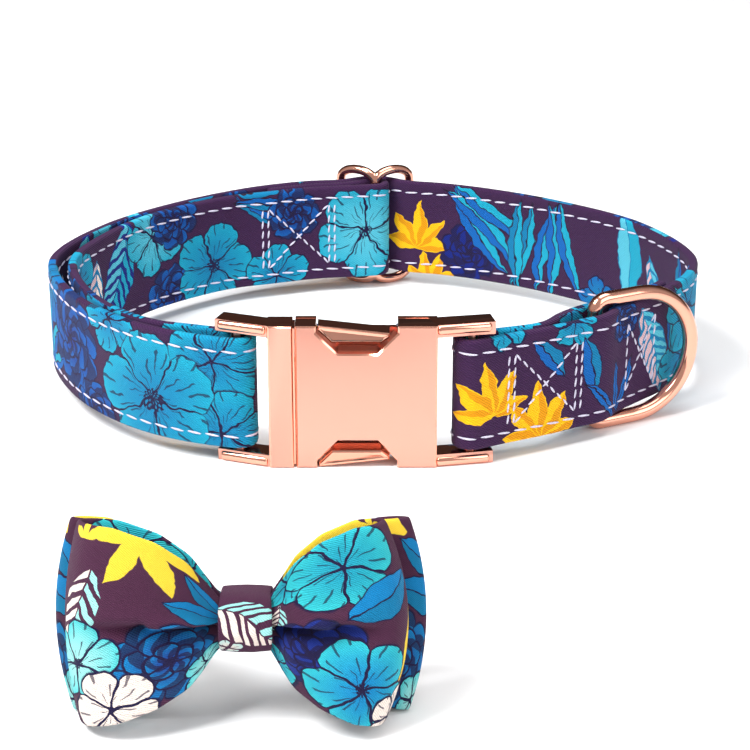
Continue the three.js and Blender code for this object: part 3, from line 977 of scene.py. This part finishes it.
@dataclass
class Finishes:
    """Every material that the collar and the bow use."""

    groups: PrintGroups = field(default_factory=PrintGroups)

    def __post_init__(self) -> None:
        """Makes the materials."""
        grain = plating_grain()
        self.strap = [
            PrintedTwill(
                f"strap_print_{i + 1}", PLUM, motifs_near(STRAP_PRINT, i * STRAP_STRETCH, STRAP_STRETCH, STRAP_REPEAT),
                STRAP_REPEAT, i * STRAP_STRETCH - STRAP_MARGIN, 9.7,
            ).make(self.groups)
            for i in range(round(STRAP_REPEAT / STRAP_STRETCH))
        ]
        self.bow = PrintedTwill(
            "bow_print", BOW_PLUM, tuple(BOW_PRINT), BOW_REPEAT, pitch=0.55, hand=0.6
        ).make(self.groups)
        self.knot = PrintedTwill(
            "knot_print", BOW_PLUM, tuple(KNOT_PRINT), KNOT_REPEAT, pitch=0.5, hand=0.3
        ).make(self.groups)
        self.thread = PlainThread("white_thread", linear(222, 218, 232), linear(172, 166, 194), 1800.0).make()
        self.elastic = PlainThread("ribbed_elastic", linear(34, 28, 44), linear(20, 16, 28), 900.0, 0.8).make()
        self.satin = RoseGold("rose_gold_satin", linear(224, 160, 142), 0.3).make(grain)
        self.polished = RoseGold("rose_gold_polished", linear(236, 170, 146), 0.14, 0.03).make(grain)


# --- Strap --------------------------------------------------------------------------------------


@dataclass
class Strap:
    """One strip of webbing faced with printed cotton, with its topstitching and its sewn boxes."""

    width: float = 25.0
    thick: float = 2.2
    low_edge: float = 3.7
    centre: tuple[float, float] = (0.4, 49.8)
    gap: float = 0.3
    buckle_mid_y: float = -53.3
    layer: float = 2.6
    cell: float = 0.9
    stitch: float = 3.3
    pitch: float = 4.1
    stitch_line: float = 9.7
    stitch_slant: float = 5.0
    thread: float = 0.52
    # What a place along the strip and its place in the print add up to, on the strip's other face.
    turn_over: float = 502.0
    # The outer face of the loop: how far it reaches in each direction, in turns of 22.5 degrees from +X.
    reaches: tuple[float, ...] = (
        75.5, 70.8, 64.5, 62.5, 64, 64.8, 65.9, 70.8, 76.3, 72.7, 67.6, 60.9, 57.2, 58.8, 62.2, 72,
    )

    def __post_init__(self) -> None:
        """Works out the strip's route."""
        self.face = []
        for i, reach in enumerate(self.reaches):
            angle = 2 * math.pi * i / len(self.reaches)
            self.face.append(Vector((reach * math.cos(angle), reach * math.sin(angle), 0)))
        self.route = self._route()
        self.length = sum((b - a).length for a, b in zip(self.route, self.route[1:]))

    def _station(self, turn: float, inset: float) -> Vector:
        """Finds a point inside the loop's outer face.

        Args:
            turn: Its direction from the loop's centre, in degrees from +X.
            inset: How far inside the face it is.

        Returns:
            The point.
        """
        along = (turn % 360) / 360
        step = 1e-4
        ahead = spline(self.face, True, (along + step) % 1) - spline(self.face, True, (along - step) % 1)
        ahead.normalize()
        return spline(self.face, True, along) + Vector((-ahead.y, ahead.x, 0)) * inset

    def _fold(self, bar: tuple[float, float], radius: float, start: float, end: float) -> list[Vector]:
        """Lays half a turn round a bar.

        Args:
            bar: The bar's centre.
            radius: The bar's radius.
            start: The plan angle where the turn starts, in degrees.
            end: The plan angle where it ends.

        Returns:
            The turn's points.
        """
        reach = radius + self.gap + self.thick / 2
        angles = [math.radians(start + (end - start) * i / 8) for i in range(9)]
        return [Vector((bar[0] + reach * math.cos(a), bar[1] + reach * math.sin(a), 0)) for a in angles]

    def _route(self) -> list[Vector]:
        """Follows the strip from its short end to the end sewn down by the slide.

        Returns:
            The centre line's points, close together.
        """
        outer, layer = self.thick / 2, self.layer
        short_end = [
            (-15, 3.8 + layer), (-20, 4.9 + layer), (-27, 5.8 + layer), (-33, 5.9 + layer), (-39, 8.4),
            (-45, 6.6), (-51, outer + layer + 0.3), (-60, outer + layer + 1),
        ]
        long_run = [
            (-61, outer), (-51, outer), (-44, outer), (-39, outer), (-34, 3.8), (-27, 5.2), (-19, 4.4),
            (-9, 2), (2, outer), (22.5, outer), (45, outer), (62, outer), (74, outer), (81.5, outer + 0.3),
            (90, -1.9), (98.5, outer + 0.3), (106, outer), (120, outer), (140, outer), (160, outer),
            (180, outer), (200, outer), (217, outer), (230, outer),
        ]
        inner_left = [
            (232, 6.2), (222, 4.4), (210, 4.2), (195, 5.2), (180, 5.8), (165, 5.4), (150, 4.3), (135, 4.1),
            (126, 4.8), (118, outer + 2 * layer + 0.2), (106, outer + 2 * layer + 0.4),
            (97, outer + 2 * layer + 0.4),
        ]
        sewn_end = [(98, outer + layer + 0.1), (106, outer + layer + 0.1), (117, outer + layer + 0.1)]
        male_bar = (-22.6 - 7 * math.cos(math.radians(20)), self.buckle_mid_y + 7 * math.sin(math.radians(20)))
        female_bar = (
            13.2 + 7.4 * math.cos(math.radians(11)), self.buckle_mid_y + 7.4 * math.sin(math.radians(11))
        )
        points = [
            *(self._station(*row) for row in short_end),
            *self._fold(female_bar, 1.5, 80, 280),
            *(self._station(*row) for row in long_run),
            *self._fold(male_bar, 1.5, -100, 100),
            *(self._station(*row) for row in inner_left),
            *self._fold((0, 60.9), 1.2, -90, 95),
            *(self._station(*row) for row in sewn_end),
        ]
        count = (len(points) - 1) * 12
        shift = Vector((*self.centre, 0))
        return [spline(points, False, i / count) + shift for i in range(count + 1)]

    def _guide(self) -> bpy.types.Object:
        """Draws the route as a curve that the flat strip is bent along.

        Returns:
            The curve's object.
        """
        curve = bpy.data.curves.new("strap_route", "CURVE")
        curve.dimensions = "3D"
        curve.twist_mode = "Z_UP"
        line = curve.splines.new("POLY")
        line.points.add(len(self.route) - 1)
        for point, place in zip(line.points, self.route):
            point.co = (*(place * MM), 1)
        guide = bpy.data.objects.new("strap_route", curve)
        bpy.context.scene.collection.objects.link(guide)
        return guide

    def _bend(self, piece: bpy.types.Object, guide: bpy.types.Object) -> None:
        """Bends a flat piece along the route.

        Args:
            piece: The flat piece, with its length along X and its width along Z.
            guide: The route's curve.
        """
        modifier = piece.modifiers.new("route", "CURVE")
        modifier.object = guide
        modifier.deform_axis = "POS_X"
        apply_modifiers(piece)

    def _strip(self) -> bpy.types.Object:
        """Models the flat strip with rounded edges.

        Returns:
            The strip, whose start is at X 0.
        """
        strip = flat_grid("strap_strip", self.length, self.width, round(self.length / self.cell), 12)
        strip.location = (self.length / 2 * MM, 0, (self.low_edge + self.width / 2) * MM)
        settle(strip)
        wall = strip.modifiers.new("wall", "SOLIDIFY")
        wall.thickness = self.thick * MM
        wall.offset = 0
        apply_modifiers(strip)
        rounding = strip.modifiers.new("rounding", "BEVEL")
        rounding.width = 0.75 * MM
        rounding.segments = 3
        rounding.limit_method = "ANGLE"
        apply_modifiers(strip)
        middle = self.low_edge + self.width / 2

        def place(corner: Vector, normal: Vector) -> tuple[float, float]:
            """Charts one face as it runs and the other face mirrored, further along the print."""
            back = normal.y > 0.3
            return (self.turn_over - corner.x if back else corner.x, corner.z - middle)

        chart_flat(strip, place)
        for _ in range(round(STRAP_REPEAT / STRAP_STRETCH)):
            strip.data.materials.append(None)
        for polygon in strip.data.polygons:
            along, _ = place(polygon.center / MM, polygon.normal)
            polygon.material_index = int((along % STRAP_REPEAT) // STRAP_STRETCH)
        return strip

    def _row(self, stitch: bpy.types.Object, start: tuple[float, float], end: tuple[float, float],
             side: Side, pitch: float | None = None) -> bpy.types.Object:
        """Sews a straight row of stitches on the flat strip.

        Args:
            stitch: The stitch to copy.
            start: The row's start along and across the strip.
            end: The row's end.
            side: The face that it is sewn on.
            pitch: The stitches' spacing, if it isn't the usual one.

        Returns:
            The row.
        """
        run = Vector((end[0] - start[0], end[1] - start[1]))
        count = max(2, round(run.length / (pitch or self.pitch)))
        row = bpy.data.objects.new("row", stitch.data.copy())
        bpy.context.scene.collection.objects.link(row)
        row.scale = (run.length / count / self.pitch, 1, 1)
        settle(row)
        copies = row.modifiers.new("copies", "ARRAY")
        copies.count = count
        copies.use_relative_offset = False
        copies.use_constant_offset = True
        copies.constant_offset_displace = (run.length / count * MM, 0, 0)
        apply_modifiers(row)
        angle = math.atan2(run.y, run.x)
        inset = run.normalized() * run.length / count / 2
        height = side.value * (self.thick / 2 + 0.06)
        middle = self.low_edge + self.width / 2
        row.rotation_euler = (0, -angle, 0)
        row.location = (
            (start[0] + inset.x) * MM, height * MM, (middle + start[1] + inset.y) * MM,
        )
        settle(row)
        return row

    def _sewn_box(self, stitch: bpy.types.Object, left: float, right: float, side: Side,
                  doubled: bool) -> list[bpy.types.Object]:
        """Sews a box with a cross in it.

        Args:
            stitch: The stitch to copy.
            left: The box's start along the strip.
            right: Its end.
            side: The face that it is sewn on.
            doubled: Whether its ends are sewn twice.

        Returns:
            The box's rows.
        """
        half = self.stitch_line - 1.6
        pitch = 2.5
        rows = [((left, half), (right, -half)), ((left, -half), (right, half))]
        for place in (left, right):
            rows.append(((place, -half), (place, half)))
        if doubled:
            rows.append(((left - 1.5, -half), (left - 1.5, half)))
            rows.append(((right + 1.5, -half), (right + 1.5, half)))
        return [self._row(stitch, start, end, side, pitch) for start, end in rows]

    def _stitching(self) -> bpy.types.Object:
        """Sews all the flat strip's stitches.

        Returns:
            The stitches as one piece.
        """
        bpy.ops.object.select_all(action="DESELECT")
        bpy.ops.mesh.primitive_uv_sphere_add(segments=7, ring_count=5, radius=1)
        stitch = bpy.context.active_object
        stitch.rotation_euler = (0, math.pi / 2, 0)
        settle(stitch)
        stitch.scale = (self.stitch / 2 * MM, self.thread * 0.42 * MM, self.thread / 2 * MM)
        settle(stitch)
        stitch.rotation_euler = (0, math.radians(self.stitch_slant), 0)
        settle(stitch)
        line = self.stitch_line
        rows = []
        for side in Side:
            for across in (-line, line):
                rows.append(self._row(stitch, (2, across), (self.length - 2, across), side))
        rows += self._sewn_box(stitch, 76, 91.5, Side.PRINT_OUT, True)
        rows += self._sewn_box(stitch, 108, 118, Side.PRINT_OUT, False)
        rows += self._sewn_box(stitch, 584, 600.5, Side.PRINT_OUT, True)
        bpy.data.objects.remove(stitch)
        return join("strap_stitching", rows)

    def build(self, finishes: Finishes) -> None:
        """Builds and dresses the strap and its stitching.

        Args:
            finishes: The materials.
        """
        guide = self._guide()
        strip, stitching = self._strip(), self._stitching()
        for piece in (strip, stitching):
            self._bend(piece, guide)
            smooth(piece, 60)
        bpy.data.objects.remove(guide)
        dress(strip, finishes.strap, "strap_cloth", "root", "strap")
        dress(stitching, [finishes.thread], "strap_cloth", "root")
        LOG.info("strap: %.0f mm of strip, %d stitch faces", self.length, len(stitching.data.polygons))


# --- Metal parts --------------------------------------------------------------------------------


@dataclass
class Hardware:
    """The buckle, its release levers, the lead ring and the slide."""

    arm_bevel: float = 1.15
    lever_rim: float = 0.4
    lever_sink: float = 0.25
    frames: tuple[tuple[str, float, int], ...] = (("male_frame", -22.2, -1), ("female_frame", 13.6, 1))
    # Each frame's rods: where they start, their length and how far they lean back, in degrees.
    rods: tuple[tuple[str, float, float, float], ...] = (
        ("male_frame", -22.4, 11.0, 160.0), ("female_frame", 13.4, 11.8, 11.0),
    )
    rod_radius: float = 1.15
    rod_y: float = -5.6
    height: float = 32.4
    # The seam's lip: its left, right, front and back, and how far it stops short of both edges.
    seam: tuple[float, ...] = (-17.0, -16.5, -6.1, -0.8, 0.6)

    def _frame(self, node: str, edge: float, side: int, finishes: Finishes) -> None:
        """Rounds the arms of one of the buckle's frames and softens its edges.

        Args:
            node: The frame node.
            edge: The x at which its arms start.
            side: The way that its arms point along X.
            finishes: The materials.
        """
        piece = merged_copy(node, node + "_plated")
        bpy.ops.object.mode_set(mode="EDIT")
        bpy.ops.mesh.select_all(action="SELECT")
        bpy.ops.mesh.dissolve_limited(angle_limit=math.radians(1.5))
        bpy.ops.mesh.select_all(action="DESELECT")
        bpy.ops.object.mode_set(mode="OBJECT")
        mesh = piece.data
        for drawn in mesh.edges:
            start, end = (mesh.vertices[i].co / MM for i in drawn.vertices)
            run = end - start
            beyond = min(side * start.x, side * end.x) > side * edge - 0.5
            drawn.select = beyond and abs(run.x) > 0.8 * run.length and run.length > 4
        bpy.ops.object.mode_set(mode="EDIT")
        bpy.ops.mesh.select_mode(type="EDGE")
        bpy.ops.mesh.bevel(offset=self.arm_bevel * MM, segments=4, affect="EDGES", clamp_overlap=True)
        bpy.ops.mesh.select_mode(type="VERT")
        bpy.ops.object.mode_set(mode="OBJECT")
        smooth(piece, 32)
        dress(piece, [finishes.satin, finishes.polished], "rose_metal", "root", node)
        for polygon in piece.data.polygons:
            polygon.material_index = 0 if abs(polygon.normal.y) > 0.9 else 1

    def _lever(self, node: str, finishes: Finishes) -> None:
        """Sinks a panel into a release lever's front face, which leaves a raised rim.

        Args:
            node: The lever's frame node, which is also its body's name.
            finishes: The materials.
        """
        piece = merged_copy(node, node + "_plated")
        bpy.ops.object.mode_set(mode="EDIT")
        bpy.ops.mesh.select_all(action="SELECT")
        bpy.ops.mesh.dissolve_limited(angle_limit=math.radians(1.5))
        bpy.ops.mesh.select_mode(type="FACE")
        bpy.ops.mesh.select_all(action="DESELECT")
        bpy.ops.object.mode_set(mode="OBJECT")
        for polygon in piece.data.polygons:
            polygon.select = polygon.normal.y < -0.95
        bpy.ops.object.mode_set(mode="EDIT")
        bpy.ops.mesh.inset(thickness=self.lever_rim * MM, depth=0)
        bpy.ops.mesh.inset(thickness=self.lever_sink * MM, depth=-self.lever_sink * MM)
        bpy.ops.mesh.select_mode(type="VERT")
        bpy.ops.object.mode_set(mode="OBJECT")
        smooth(piece, 25)
        dress(piece, [finishes.polished], "rose_metal", node, node)
        LOG.info("lever: %s", node)

    def _rods(self, node: str, start: float, length: float, turn: float, finishes: Finishes) -> None:
        """Lays a polished rod with round ends along the front of each of a frame's arms.

        Args:
            node: The frame node.
            start: The x of the rods' inner ends.
            length: The rods' length.
            turn: Their direction seen from above, in degrees from +X.
            finishes: The materials.
        """
        way = Vector((math.cos(math.radians(turn)), math.sin(math.radians(turn)), 0))
        rods = []
        for z in (self.rod_radius, self.height - self.rod_radius):
            middle = Vector((start, self.rod_y, z)) + way * length / 2
            bpy.ops.object.select_all(action="DESELECT")
            bpy.ops.mesh.primitive_cylinder_add(
                vertices=28, radius=self.rod_radius * MM, depth=length * MM, location=middle * MM,
                rotation=way.to_track_quat("Z", "Y").to_euler(),
            )
            rod = bpy.context.active_object
            settle(rod)
            ends = rod.modifiers.new("round_ends", "BEVEL")
            ends.width = 0.7 * MM
            ends.segments = 4
            ends.limit_method = "ANGLE"
            ends.angle_limit = math.radians(60)
            apply_modifiers(rod)
            rods.append(rod)
        piece = join(node + "_rods", rods)
        smooth(piece, 40)
        dress(piece, [finishes.polished], "rose_metal", "root")

    def _seam(self, finishes: Finishes) -> None:
        """Adds the thin lip on the male frame's right side, which closes the buckle's seam.

        Args:
            finishes: The materials.
        """
        left, right, front, back, inset = self.seam
        bpy.ops.object.select_all(action="DESELECT")
        bpy.ops.mesh.primitive_cube_add(
            size=1, location=Vector(((left + right) / 2, (front + back) / 2, self.height / 2)) * MM
        )
        lip = bpy.context.active_object
        lip.name = "male_frame_lip"
        lip.scale = ((right - left) * MM, (back - front) * MM, (self.height - 2 * inset) * MM)
        settle(lip)
        edges = lip.modifiers.new("edges", "BEVEL")
        edges.width = 0.1 * MM
        edges.segments = 2
        apply_modifiers(lip)
        dress(lip, [finishes.polished], "rose_metal", "root")

    def build(self, finishes: Finishes) -> None:
        """Builds and dresses the metal parts.

        Args:
            finishes: The materials.
        """
        for node, edge, side in self.frames:
            self._frame(node, edge, side, finishes)
            LOG.info("buckle: %s", node)
        for rods in self.rods:
            self._rods(*rods, finishes)
        self._seam(finishes)
        for lever in ("lever_top", "lever_bottom"):
            self._lever(lever, finishes)
        for node, body in (("lead_ring", "lead_ring"), ("slide", "root")):
            piece = merged_copy(node, node + "_plated")
            smooth(piece, 50)
            dress(piece, [finishes.polished], "rose_metal", body, node)
            LOG.info("wire part: %s", node)


# --- Bow ----------------------------------------------------------------------------------------


@dataclass(frozen=True)
class Layer:
    """One of the bow's two layers, in the bow's own frame, with -Y towards the front."""

    name: str
    node: str
    front: tuple[float, ...]
    back: tuple[float, ...]
    set_back: float
    tip: float
    crease: float
    bulge: float
    left: tuple[float, float]
    right: tuple[float, float]
    outline: tuple[tuple[float, float, float], ...]
    print_shift: float


@dataclass
class Bow:
    """The slip-on bow tie: two layers of folded cloth, a knot, and two elastic loops behind."""

    centre: Point = (-21.2, -106.0, 17.24)
    lean: float = 15.0
    cloth: float = 0.9
    height: float = 34.6
    stations: tuple[float, ...] = (0, 0.19, 0.3, 0.52, 0.74, 0.92)
    knot_width: float = 9.0
    knot_half: float = 5.35
    knot_front: float = 4.0
    knot_back: float = 7.6
    elastic_width: float = 8.0
    elastic_half: float = 13.0
    elastic_front: float = 7.2
    elastic_depth: float = 6.6
    elastic_wall: float = 1.0
    elastic_offset: float = 21.0
    layers: tuple[Layer, ...] = (
        Layer(
            "bow_front_cloth", "bow_front", (2, 2.2, 4.6, 6.4, 6.8, 5.2), (2, 2, 2.1, 2.2, 2.1, 1.5), 0, 0.6, 5.2, 1.5,
            (30.2, 0.08), (27.2, 0.15),
            (
                (0, 3.2, 3.2), (0.13, 3.6, 3.6), (0.225, 7.2, 7.4), (0.32, 10.9, 10.7), (0.5, 14.5, 13.8),
                (0.75, 16.9, 16.2), (1, 17.5, 17.2),
            ),
            0,
        ),
        Layer(
            "bow_back_cloth", "bow_back", (1.3, 1.3, 1.5, 1.6, 1.6, 1.4), (1.3, 1.3, 1.6, 1.8, 2, 1.8), 4.1, 0, 0, 0,
            (32.6, 0.09), (30.4, 0.1),
            (
                (0, 3, 3), (0.13, 3.4, 3.4), (0.225, 6, 6.2), (0.35, 10.4, 10), (0.55, 14.4, 13.2),
                (0.78, 16.6, 15.6), (1, 17, 16.6),
            ),
            25,
        ),
    )

    def _stand(self, piece: bpy.types.Object) -> None:
        """Leans a piece back and moves it to the bow's place.

        Args:
            piece: The piece, in the bow's own frame.
        """
        lean = Matrix.Rotation(-math.radians(self.lean), 4, "X")
        place = Matrix.Translation(Vector(self.centre) * MM)
        piece.matrix_world = place @ lean
        settle(piece)

    @staticmethod
    def _outline(layer: Layer, along: float) -> tuple[float, float]:
        """Reads how far a layer reaches above and below its middle.

        Args:
            layer: The layer.
            along: How far out along the lobe, from 0 to 1.

        Returns:
            The reach above and the reach below.
        """
        places = [row[0] for row in layer.outline]
        return (
            float(np.interp(along, places, [row[1] for row in layer.outline])),
            float(np.interp(along, places, [row[2] for row in layer.outline])),
        )

    def _lobe(self, layer: Layer, side: int) -> bpy.types.Object:
        """Folds one lobe out of flat cloth, from the knot round its outer end and back to the knot.

        Args:
            layer: The layer that it belongs to.
            side: -1 for the left lobe and 1 for the right one.

        Returns:
            The lobe, in the bow's own frame.
        """
        reach, pull = layer.left if side < 0 else layer.right
        wall = self.cloth / 2
        front = [Vector((a * reach, layer.set_back - d + wall, 0)) for a, d in zip(self.stations, layer.front)]
        back = [Vector((a * reach, layer.set_back + d - wall, 0)) for a, d in zip(self.stations, layer.back)]
        run = [*front, Vector((reach - wall, layer.set_back - layer.tip, 0)), *reversed(back)]
        flat = 2 * reach + 6
        lobe = flat_grid(layer.name, flat, self.height, 76, 30)

        def u_v(corner: Vector, normal: Vector) -> tuple[float, float]:
            """Charts the cloth outwards from the knot, with the front's left half before zero."""
            return (side * (corner.x + flat / 2) + layer.print_shift, corner.z)

        chart_flat(lobe, u_v)

        def fold(point: Vector) -> Point:
            """Folds one point of the flat cloth."""
            part = point.x / flat + 0.5
            place = spline(run, False, min(max(part, 0), 1))
            along = min(1.0, max(0.0, place.x / reach))
            top, bottom = self._outline(layer, along)
            share = point.z / self.height + 0.5
            z = -bottom + (top + bottom) * share
            corner = (2 * share - 1) ** 2
            facing = min(1.0, max(0.0, (layer.set_back - place.y) / 3)) if part < 0.5 else 0.0
            swell = math.sin(math.pi * min(1.0, along * 1.12) ** 0.75)
            off = (z + 0.5 - 1.6 * along) / (1.6 + 2.6 * along)
            if off > 0:
                dent = -layer.bulge * facing * swell * math.exp(-1.6 * off)
            else:
                dent = layer.crease * facing * swell * math.exp(1.1 * off)
            near = math.exp(-((along / 0.42) ** 2)) * min(1.0, along * 9)
            gathers = 0.6 * near * facing * math.cos(7.0 * (2 * share - 1) + side * 0.8)
            slack = 0.35 * math.sin(5.5 * along + 3.1 * share * side) * corner * facing
            curl = 0.6 * corner**3 * facing * along
            x = place.x * (1 - pull * corner * along)
            return (side * x, place.y + dent + gathers + slack + curl, z)

        shape(lobe, fold)
        return lobe

    def _layer(self, layer: Layer, finishes: Finishes) -> None:
        """Builds and dresses one layer of the bow.

        Args:
            layer: The layer.
            finishes: The materials.
        """
        cloth = join(layer.name, [self._lobe(layer, -1), self._lobe(layer, 1)])
        outward(cloth)
        wall = cloth.modifiers.new("wall", "SOLIDIFY")
        wall.thickness = self.cloth * MM
        wall.offset = 0
        apply_modifiers(cloth)
        rounding = cloth.modifiers.new("rounding", "SUBSURF")
        rounding.levels = rounding.render_levels = 1
        apply_modifiers(cloth)
        self._stand(cloth)
        smooth(cloth, 60)
        dress(cloth, [finishes.bow], "bow_cloth", "root", layer.node)
        length = 2 * (layer.left[0] + layer.right[0]) + 12
        rests_on = "bow_back_cloth" if layer.node == "bow_front" else "elastic_left_band"
        area = length * self.height * MM * MM * 0.74
        self.sheets.append((cloth, (length * MM, self.height * MM), area, rests_on))
        LOG.info("bow: %s", layer.name)

    def _knot(self, finishes: Finishes) -> None:
        """Wraps the knot's band round the bow, with its cloth gathered in soft folds.

        Args:
            finishes: The materials.
        """
        half, front, back = self.knot_half, -self.knot_front, self.knot_back
        wall = 0.6
        depth = back - front
        around = 2 * (2 * half + depth)
        band = flat_grid("bow_knot_cloth", self.knot_width, around, 18, 96)
        chart_flat(band, lambda corner, normal: (corner.x + 20, corner.z))

        def wrap(point: Vector) -> Point:
            """Wraps one point of the flat band round a rounded box."""
            angle = point.z / around * 2 * math.pi
            across = point.x / self.knot_width * 2
            sine, cosine = math.sin(angle), math.cos(angle)
            power = 0.55
            z = math.copysign(abs(sine) ** power, sine)
            y = -math.copysign(abs(cosine) ** power, cosine)
            facing = max(0.0, -y)
            folds = 0.22 * math.cos(3.2 * math.pi * across + 0.6) * (1 - across * across) * facing
            belly = 0.5 * (across * across) * facing
            width = 1 - 0.05 * abs(z) ** 3
            return (
                point.x * width,
                (front + back) / 2 + y * (depth / 2 - wall) + folds + belly,
                z * (half - wall - 0.25 * across * across),
            )

        shape(band, wrap)
        outward(band)
        thick = band.modifiers.new("wall", "SOLIDIFY")
        thick.thickness = 1.1 * MM
        thick.offset = 0
        apply_modifiers(band)
        rounding = band.modifiers.new("rounding", "SUBSURF")
        rounding.levels = rounding.render_levels = 1
        apply_modifiers(band)
        self._stand(band)
        smooth(band, 60)
        dress(band, [finishes.knot], "bow_cloth", "root", "bow_knot")
        LOG.info("bow: knot")

    def _elastic(self, node: str, side: int, finishes: Finishes) -> None:
        """Bends one elastic loop behind the bow, flat in front and slack behind.

        Args:
            node: The frame node that it stands for.
            side: -1 for the left loop and 1 for the right one.
            finishes: The materials.
        """
        around = 2 * (2 * self.elastic_half + self.elastic_depth)
        band = flat_grid(node + "_band", self.elastic_width, around, 4, 64)

        def bend(point: Vector) -> Point:
            """Bends one point of the flat band into a D."""
            angle = point.z / around * 2 * math.pi
            slack = max(0.0, math.cos(angle))
            return (
                side * self.elastic_offset + point.x,
                self.elastic_front + self.elastic_depth * slack**0.85,
                self.elastic_half * math.sin(angle),
            )

        shape(band, bend)
        outward(band)
        thick = band.modifiers.new("wall", "SOLIDIFY")
        thick.thickness = self.elastic_wall * MM
        thick.offset = 0
        rounding = band.modifiers.new("rounding", "SUBSURF")
        rounding.levels = rounding.render_levels = 1
        apply_modifiers(band)
        self._stand(band)
        smooth(band, 60)
        dress(band, [finishes.elastic], "elastic_web", "root", node)

    def build(self, finishes: Finishes) -> None:
        """Builds and dresses the bow.

        Args:
            finishes: The materials.
        """
        self.sheets: list[tuple[bpy.types.Object, tuple[float, float], float, str]] = []
        for node, side in (("elastic_left", -1), ("elastic_right", 1)):
            self._elastic(node, side, finishes)
        for layer in reversed(self.layers):
            self._layer(layer, finishes)
        self._knot(finishes)
        for cloth, flat, area, rests_on in self.sheets:
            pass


# --- Studio -------------------------------------------------------------------------------------


@dataclass
class Studio:
    """The pale floor, the lights and the camera."""

    eye: Point = (0.4, -416.6, 187.1)
    aim: Point = (0.4, 49.8, -1.3)
    view_angle: float = 20.27
    # Each light's place and size in metres, its power in watts, and what it points at.
    lights: tuple[tuple[str, Point, float, float, Point], ...] = (
        ("key", (-0.40, -0.22, 0.62), 0.32, 7.4, (0, 0, 0)),
        ("fill", (0.50, -0.45, 0.40), 0.50, 2.2, (0, 0, 0)),
        ("top", (0.1, 0.10, 0.80), 0.50, 3.3, (0, 0.02, 0)),
    )

    def _camera(self) -> None:
        """Sets up the camera."""
        lens = bpy.data.cameras.new("camera")
        lens.angle = math.radians(self.view_angle)
        lens.clip_start = 0.01
        camera = bpy.data.objects.new("camera", lens)
        camera.location = Vector(self.eye) * MM
        way = Vector(self.aim) - Vector(self.eye)
        camera.rotation_euler = way.to_track_quat("-Z", "Y").to_euler()
        bpy.context.scene.collection.objects.link(camera)
        bpy.context.scene.camera = camera

    def _floor(self) -> None:
        """Lays the floor."""
        bpy.ops.object.select_all(action="DESELECT")
        bpy.ops.mesh.primitive_plane_add(size=12, location=(0, 0, 0))
        floor = bpy.context.active_object
        floor.name = "floor"
        material, _, surface = bare_material("pale_floor")
        surface.inputs["Base Color"].default_value = (0.95, 0.95, 0.95, 1)
        surface.inputs["Roughness"].default_value = 0.9
        surface.inputs["Specular IOR Level"].default_value = 0.1
        floor.data.materials.append(material)

    def _light(self, name: str, place: Point, size: float, power: float, aim: Point) -> None:
        """Hangs one soft light.

        Args:
            name: Its name.
            place: Where it hangs, in metres.
            size: Its side.
            power: Its power in watts.
            aim: What it points at.
        """
        lamp = bpy.data.lights.new(name, "AREA")
        lamp.energy = power
        lamp.size = size
        light = bpy.data.objects.new(name, lamp)
        light.location = place
        light.rotation_euler = (Vector(aim) - Vector(place)).to_track_quat("-Z", "Y").to_euler()
        bpy.context.scene.collection.objects.link(light)

    def _surroundings(self) -> None:
        """Sets the soft surroundings: bright in front and above, dim low down behind."""
        world = bpy.data.worlds.new("studio")
        world.use_nodes = True
        wiring = Wiring(world.node_tree)
        way = wiring.add("ShaderNodeTexCoord", {}).outputs["Generated"]
        parts = wiring.add("ShaderNodeSeparateXYZ", {0: way})
        behind = wiring.math("MULTIPLY_ADD", parts.outputs[1], 1.6, 0.1, clamp=True)
        colour = wiring.mix(behind, (0.95, 0.95, 0.97, 1), (0.10, 0.07, 0.06, 1))
        background = world.node_tree.nodes["Background"]
        world.node_tree.links.new(colour, background.inputs["Color"])
        background.inputs["Strength"].default_value = 0.56
        bpy.context.scene.world = world
        bpy.context.scene.view_settings.view_transform = "Standard"

    def build(self) -> None:
        """Builds the studio."""
        self._camera()
        self._floor()
        self._surroundings()
        for light in self.lights:
            self._light(*light)


def main() -> None:
    """Builds the studio, the collar and the bow."""
    logging.basicConfig(level=logging.INFO, format="%(name)s: %(message)s")
    Studio().build()
    finishes = Finishes()
    Strap().build(finishes)
    Hardware().build(finishes)
    Bow().build(finishes)


if __name__ == "__main__":
    main()
